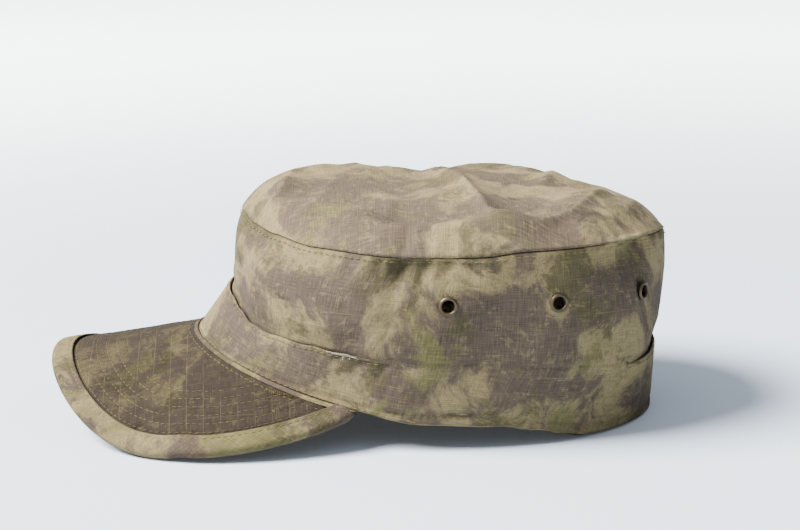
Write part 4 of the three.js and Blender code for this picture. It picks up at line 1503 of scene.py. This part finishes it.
def binding_path():
    path = []
    for share in steps(0.03, 0.97, 300):
        here, inward = edge_line(share)
        rise = peak_top(*(here + inward)) - peak_top(*here)
        inset = binding_width(share) - BINDING_SEAM
        spot = here + inward * inset / math.sqrt(1 + rise * rise)
        place = on_peak(*spot, GAP * 0.6 + BINDING_CLOTH - 0.1)
        path.append((to_mesh_place(place), peak_normal(*spot)))
    return path


class CAP_OT_stitching(bpy.types.Operator):
    """Sews the seams, the tucks, the rim, the binding and the quilting"""
    bl_idname = "cap.stitching"
    bl_label = "Stitching"

    def execute(self, context):
        material = thread_material()
        chance = random.Random(11)

        def piece(name, paths, slot="cloth", jitter=0.06, skip=0.0, fine=1.0):
            stitches = bmesh.new()
            for path in paths:
                sew(stitches, path, chance, jitter, skip, fine)
            finish_piece(name, stitches, material, slot)

        piece("seam_stitches", [path_on_wall(steps(0, 360, 700), SEAM_ROW, 0.5)])
        tucks = (
            steps(1 - FRONT_REACH, FRONT_REACH - 1, 300),
            steps(183 - BACK_REACH, 177 + BACK_REACH, 120),
        )
        piece("tuck_stitches", [path_on_wall(angles, TUCK_ROW, 0.22) for angles in tucks])
        rim = [path_on_wall([angle], rim_row(angle), 0.05)[0] for angle in steps(0, 360, 700)]
        piece("rim_stitches", [rim], skip=0.12)
        rows = [quilting_path(QUILT_START + i * QUILT_PITCH) for i in range(QUILT_ROWS)]
        piece("quilting_stitches", rows, "peak_cloth", jitter=0.1, skip=0.06, fine=0.52)
        piece("binding_stitches", [binding_path()], "binding")
        joint = [
            (
                to_mesh_place(joint_spot(angle, JOINT_OUT, 0.12)),
                peak_normal(*joint_spot(angle, JOINT_OUT, 0)[:2]),
            )
            for angle in steps(JOINT_MARGIN - PEAK_CORNER, PEAK_CORNER - JOINT_MARGIN, 200)
        ]
        piece("joint_stitches", [joint], "peak_cloth", fine=0.6)
        tacks = bmesh.new()
        for (x0, y0), (x1, y1) in BAR_TACKS:
            along = Vector((x1 - x0, y1 - y0)).normalized()
            path = []
            for k in range(TACK_TURNS + 1):
                aside = TACK_WIDTH / 2 * (-1) ** k * chance.uniform(0.7, 1.2)
                x = mix(x0, x1, k / TACK_TURNS) - along.y * aside
                y = mix(y0, y1, k / TACK_TURNS) + along.x * aside
                path.append(to_mesh_place(on_peak(x, y, 0.2)))
            strand(tacks, path, 0.17 * MM)
        finish_threads("bar_tacks", tacks, material, "peak_cloth")
        return {"FINISHED"}


class CAP_OT_loose_threads(bpy.types.Operator):
    """Makes the pale frayed threads along the tuck and the loose ends at the rim"""
    bl_idname = "cap.loose_threads"
    bl_label = "Loose threads"

    def execute(self, context):
        chance = random.Random(5)
        frayed = bmesh.new()
        for i in range(3):
            start, end = 59.5 + chance.uniform(0, 5), 71 - chance.uniform(0, 3)
            out, up = chance.uniform(0.15, 0.4), chance.uniform(-0.35, 0.35)
            path = []
            for k in range(25):
                angle = mix(start, end, k / 24)
                wave = crease(angle * 1.5, i * 9, 4, 1.6)
                place = wall_surface(angle, BAND_ROWS) + outward(angle) * (out + 0.2 * wave)
                path.append(to_mesh_place(place + Vector((0, 0, up + 0.5 * wave))))
            strand(frayed, path, chance.uniform(0.06, 0.1) * MM)
        for i in range(6):
            angle = chance.uniform(67, 71)
            root = wall_surface(angle, BAND_ROWS) + outward(angle) * 0.4
            lean = Vector((
                chance.uniform(-0.3, 0.6), chance.uniform(-1, 2), chance.uniform(-2, 0.6),
            ))
            path = [
                to_mesh_place(root + lean * part + outward(angle) * 0.5 * part)
                for part in (0, 0.5, 1)
            ]
            strand(frayed, path, 0.08 * MM)
        finish_threads("frayed_threads", frayed, frayed_material(), "cloth")

        ends = bmesh.new()
        for i in range(7):
            angle = 85.2 + chance.uniform(-0.4, 0.4)
            root = wall_surface(angle, 1) + outward(angle) * 0.3
            lean = Vector((
                chance.uniform(0, 0.5), chance.uniform(1.5, 4), chance.uniform(-1.2, -0.1),
            ))
            path = [to_mesh_place(root + lean * part) for part in (0, 0.4, 0.8, 1)]
            strand(ends, path, 0.16 * MM)
        finish_threads("loose_ends", ends, bpy.data.materials["Sewing thread"], "cloth")
        return {"FINISHED"}


# The stage, in metres and degrees
LAMP_PLACE, LAMP_AIM, LAMP_SIZE = Vector((0.65, -2.6, 2.9)), Vector((0, 0.02, 0.06)), 2.3
LAMP_COLOUR, SKY_COLOUR = (1.0, 0.97, 0.92), (0.86, 0.92, 1.0, 1)
FLOOR_HALF = 40
VIEW_TARGET, VIEW_DISTANCE = Vector((0, 0.02103, 0.068)), 0.78
VIEW_RISE, VIEW_ROLL = math.radians(12), math.radians(0.5)
LENS, SENSOR = 73.4, 36


class CAP_OT_stage(bpy.types.Operator):
    """Sets the floor, the lights and the camera"""
    bl_idname = "cap.stage"
    bl_label = "Stage"

    def execute(self, context):
        look = context.scene.cap_stage
        floor = bmesh.new()
        bmesh.ops.create_grid(floor, x_segments=4, y_segments=4, size=FLOOR_HALF)
        mesh = bpy.data.meshes.new("floor")
        floor.to_mesh(mesh)
        floor.free()
        piece = bpy.data.objects.new("floor", mesh)
        context.scene.collection.objects.link(piece)
        mesh.materials.append(floor_material())

        data = bpy.data.lights.new("window", "AREA")
        data.shape, data.size = "DISK", LAMP_SIZE
        data.energy, data.color = look.key_power, LAMP_COLOUR
        lamp = bpy.data.objects.new("window", data)
        lamp.location = LAMP_PLACE
        lamp.rotation_euler = (LAMP_AIM - LAMP_PLACE).to_track_quat("-Z", "Y").to_euler()
        context.scene.collection.objects.link(lamp)

        world = bpy.data.worlds.new("pale room")
        world.use_nodes = True
        tree = world.node_tree
        sky = tree.nodes["Background"].inputs
        sky["Color"].default_value = SKY_COLOUR
        direction = add_node(tree, "ShaderNodeTexCoord").outputs["Generated"]
        height = add_node(tree, "ShaderNodeSeparateXYZ", {"Vector": direction}).outputs["Z"]
        overhead = sum_up(tree, "MULTIPLY_ADD", sum_up(tree, "MAXIMUM", height, 0.0), 1.6, 0.25)
        tree.links.new(sum_up(tree, "MULTIPLY", overhead, look.fill), sky["Strength"])
        context.scene.world = world

        back = Vector((math.cos(VIEW_RISE), 0, math.sin(VIEW_RISE)))
        data = bpy.data.cameras.new("photo view")
        data.lens, data.sensor_width = LENS, SENSOR
        camera = bpy.data.objects.new("photo view", data)
        camera.matrix_world = (
            Matrix.Translation(VIEW_TARGET + back * VIEW_DISTANCE)
            @ (-back).to_track_quat("-Z", "Y").to_matrix().to_4x4()
            @ Matrix.Rotation(-VIEW_ROLL, 4, "Z")
        )
        context.scene.collection.objects.link(camera)
        context.scene.camera = camera
        return {"FINISHED"}


class CAP_PT_panel(bpy.types.Panel):
    """Lists the cap's pieces and settings"""
    bl_idname = "CAP_PT_panel"
    bl_label = "Patrol cap"
    bl_space_type = "VIEW_3D"
    bl_region_type = "UI"
    bl_category = "Cap"

    def draw(self, context):
        for group in ("cap_cloth", "cap_thread", "cap_stage"):
            settings = getattr(context.scene, group)
            box = self.layout.box()
            for label in settings.__annotations__:
                box.prop(settings, label)
        for maker in MAKERS:
            self.layout.operator(maker.bl_idname)


SETTINGS = {
    "cap_cloth": CapClothSettings, "cap_thread": CapThreadSettings, "cap_stage": CapStageSettings,
}
MAKERS = (
    CAP_OT_stage, CAP_OT_materials, CAP_OT_crown_top, CAP_OT_side_wall, CAP_OT_rim_band,
    CAP_OT_peak, CAP_OT_peak_binding, CAP_OT_joint_welt, CAP_OT_eyelets, CAP_OT_stitching,
    CAP_OT_loose_threads,
)


def register():
    for kind in (*SETTINGS.values(), *MAKERS, CAP_PT_panel):
        bpy.utils.register_class(kind)
    for name, kind in SETTINGS.items():
        setattr(bpy.types.Scene, name, PointerProperty(type=kind))


def unregister():
    for name in SETTINGS:
        delattr(bpy.types.Scene, name)
    for kind in reversed((*SETTINGS.values(), *MAKERS, CAP_PT_panel)):
        bpy.utils.unregister_class(kind)


def main():
    register()
    for maker in MAKERS:
        group, name = maker.bl_idname.split(".")
        getattr(getattr(bpy.ops, group), name)()


if __name__ == "__main__":
    main()
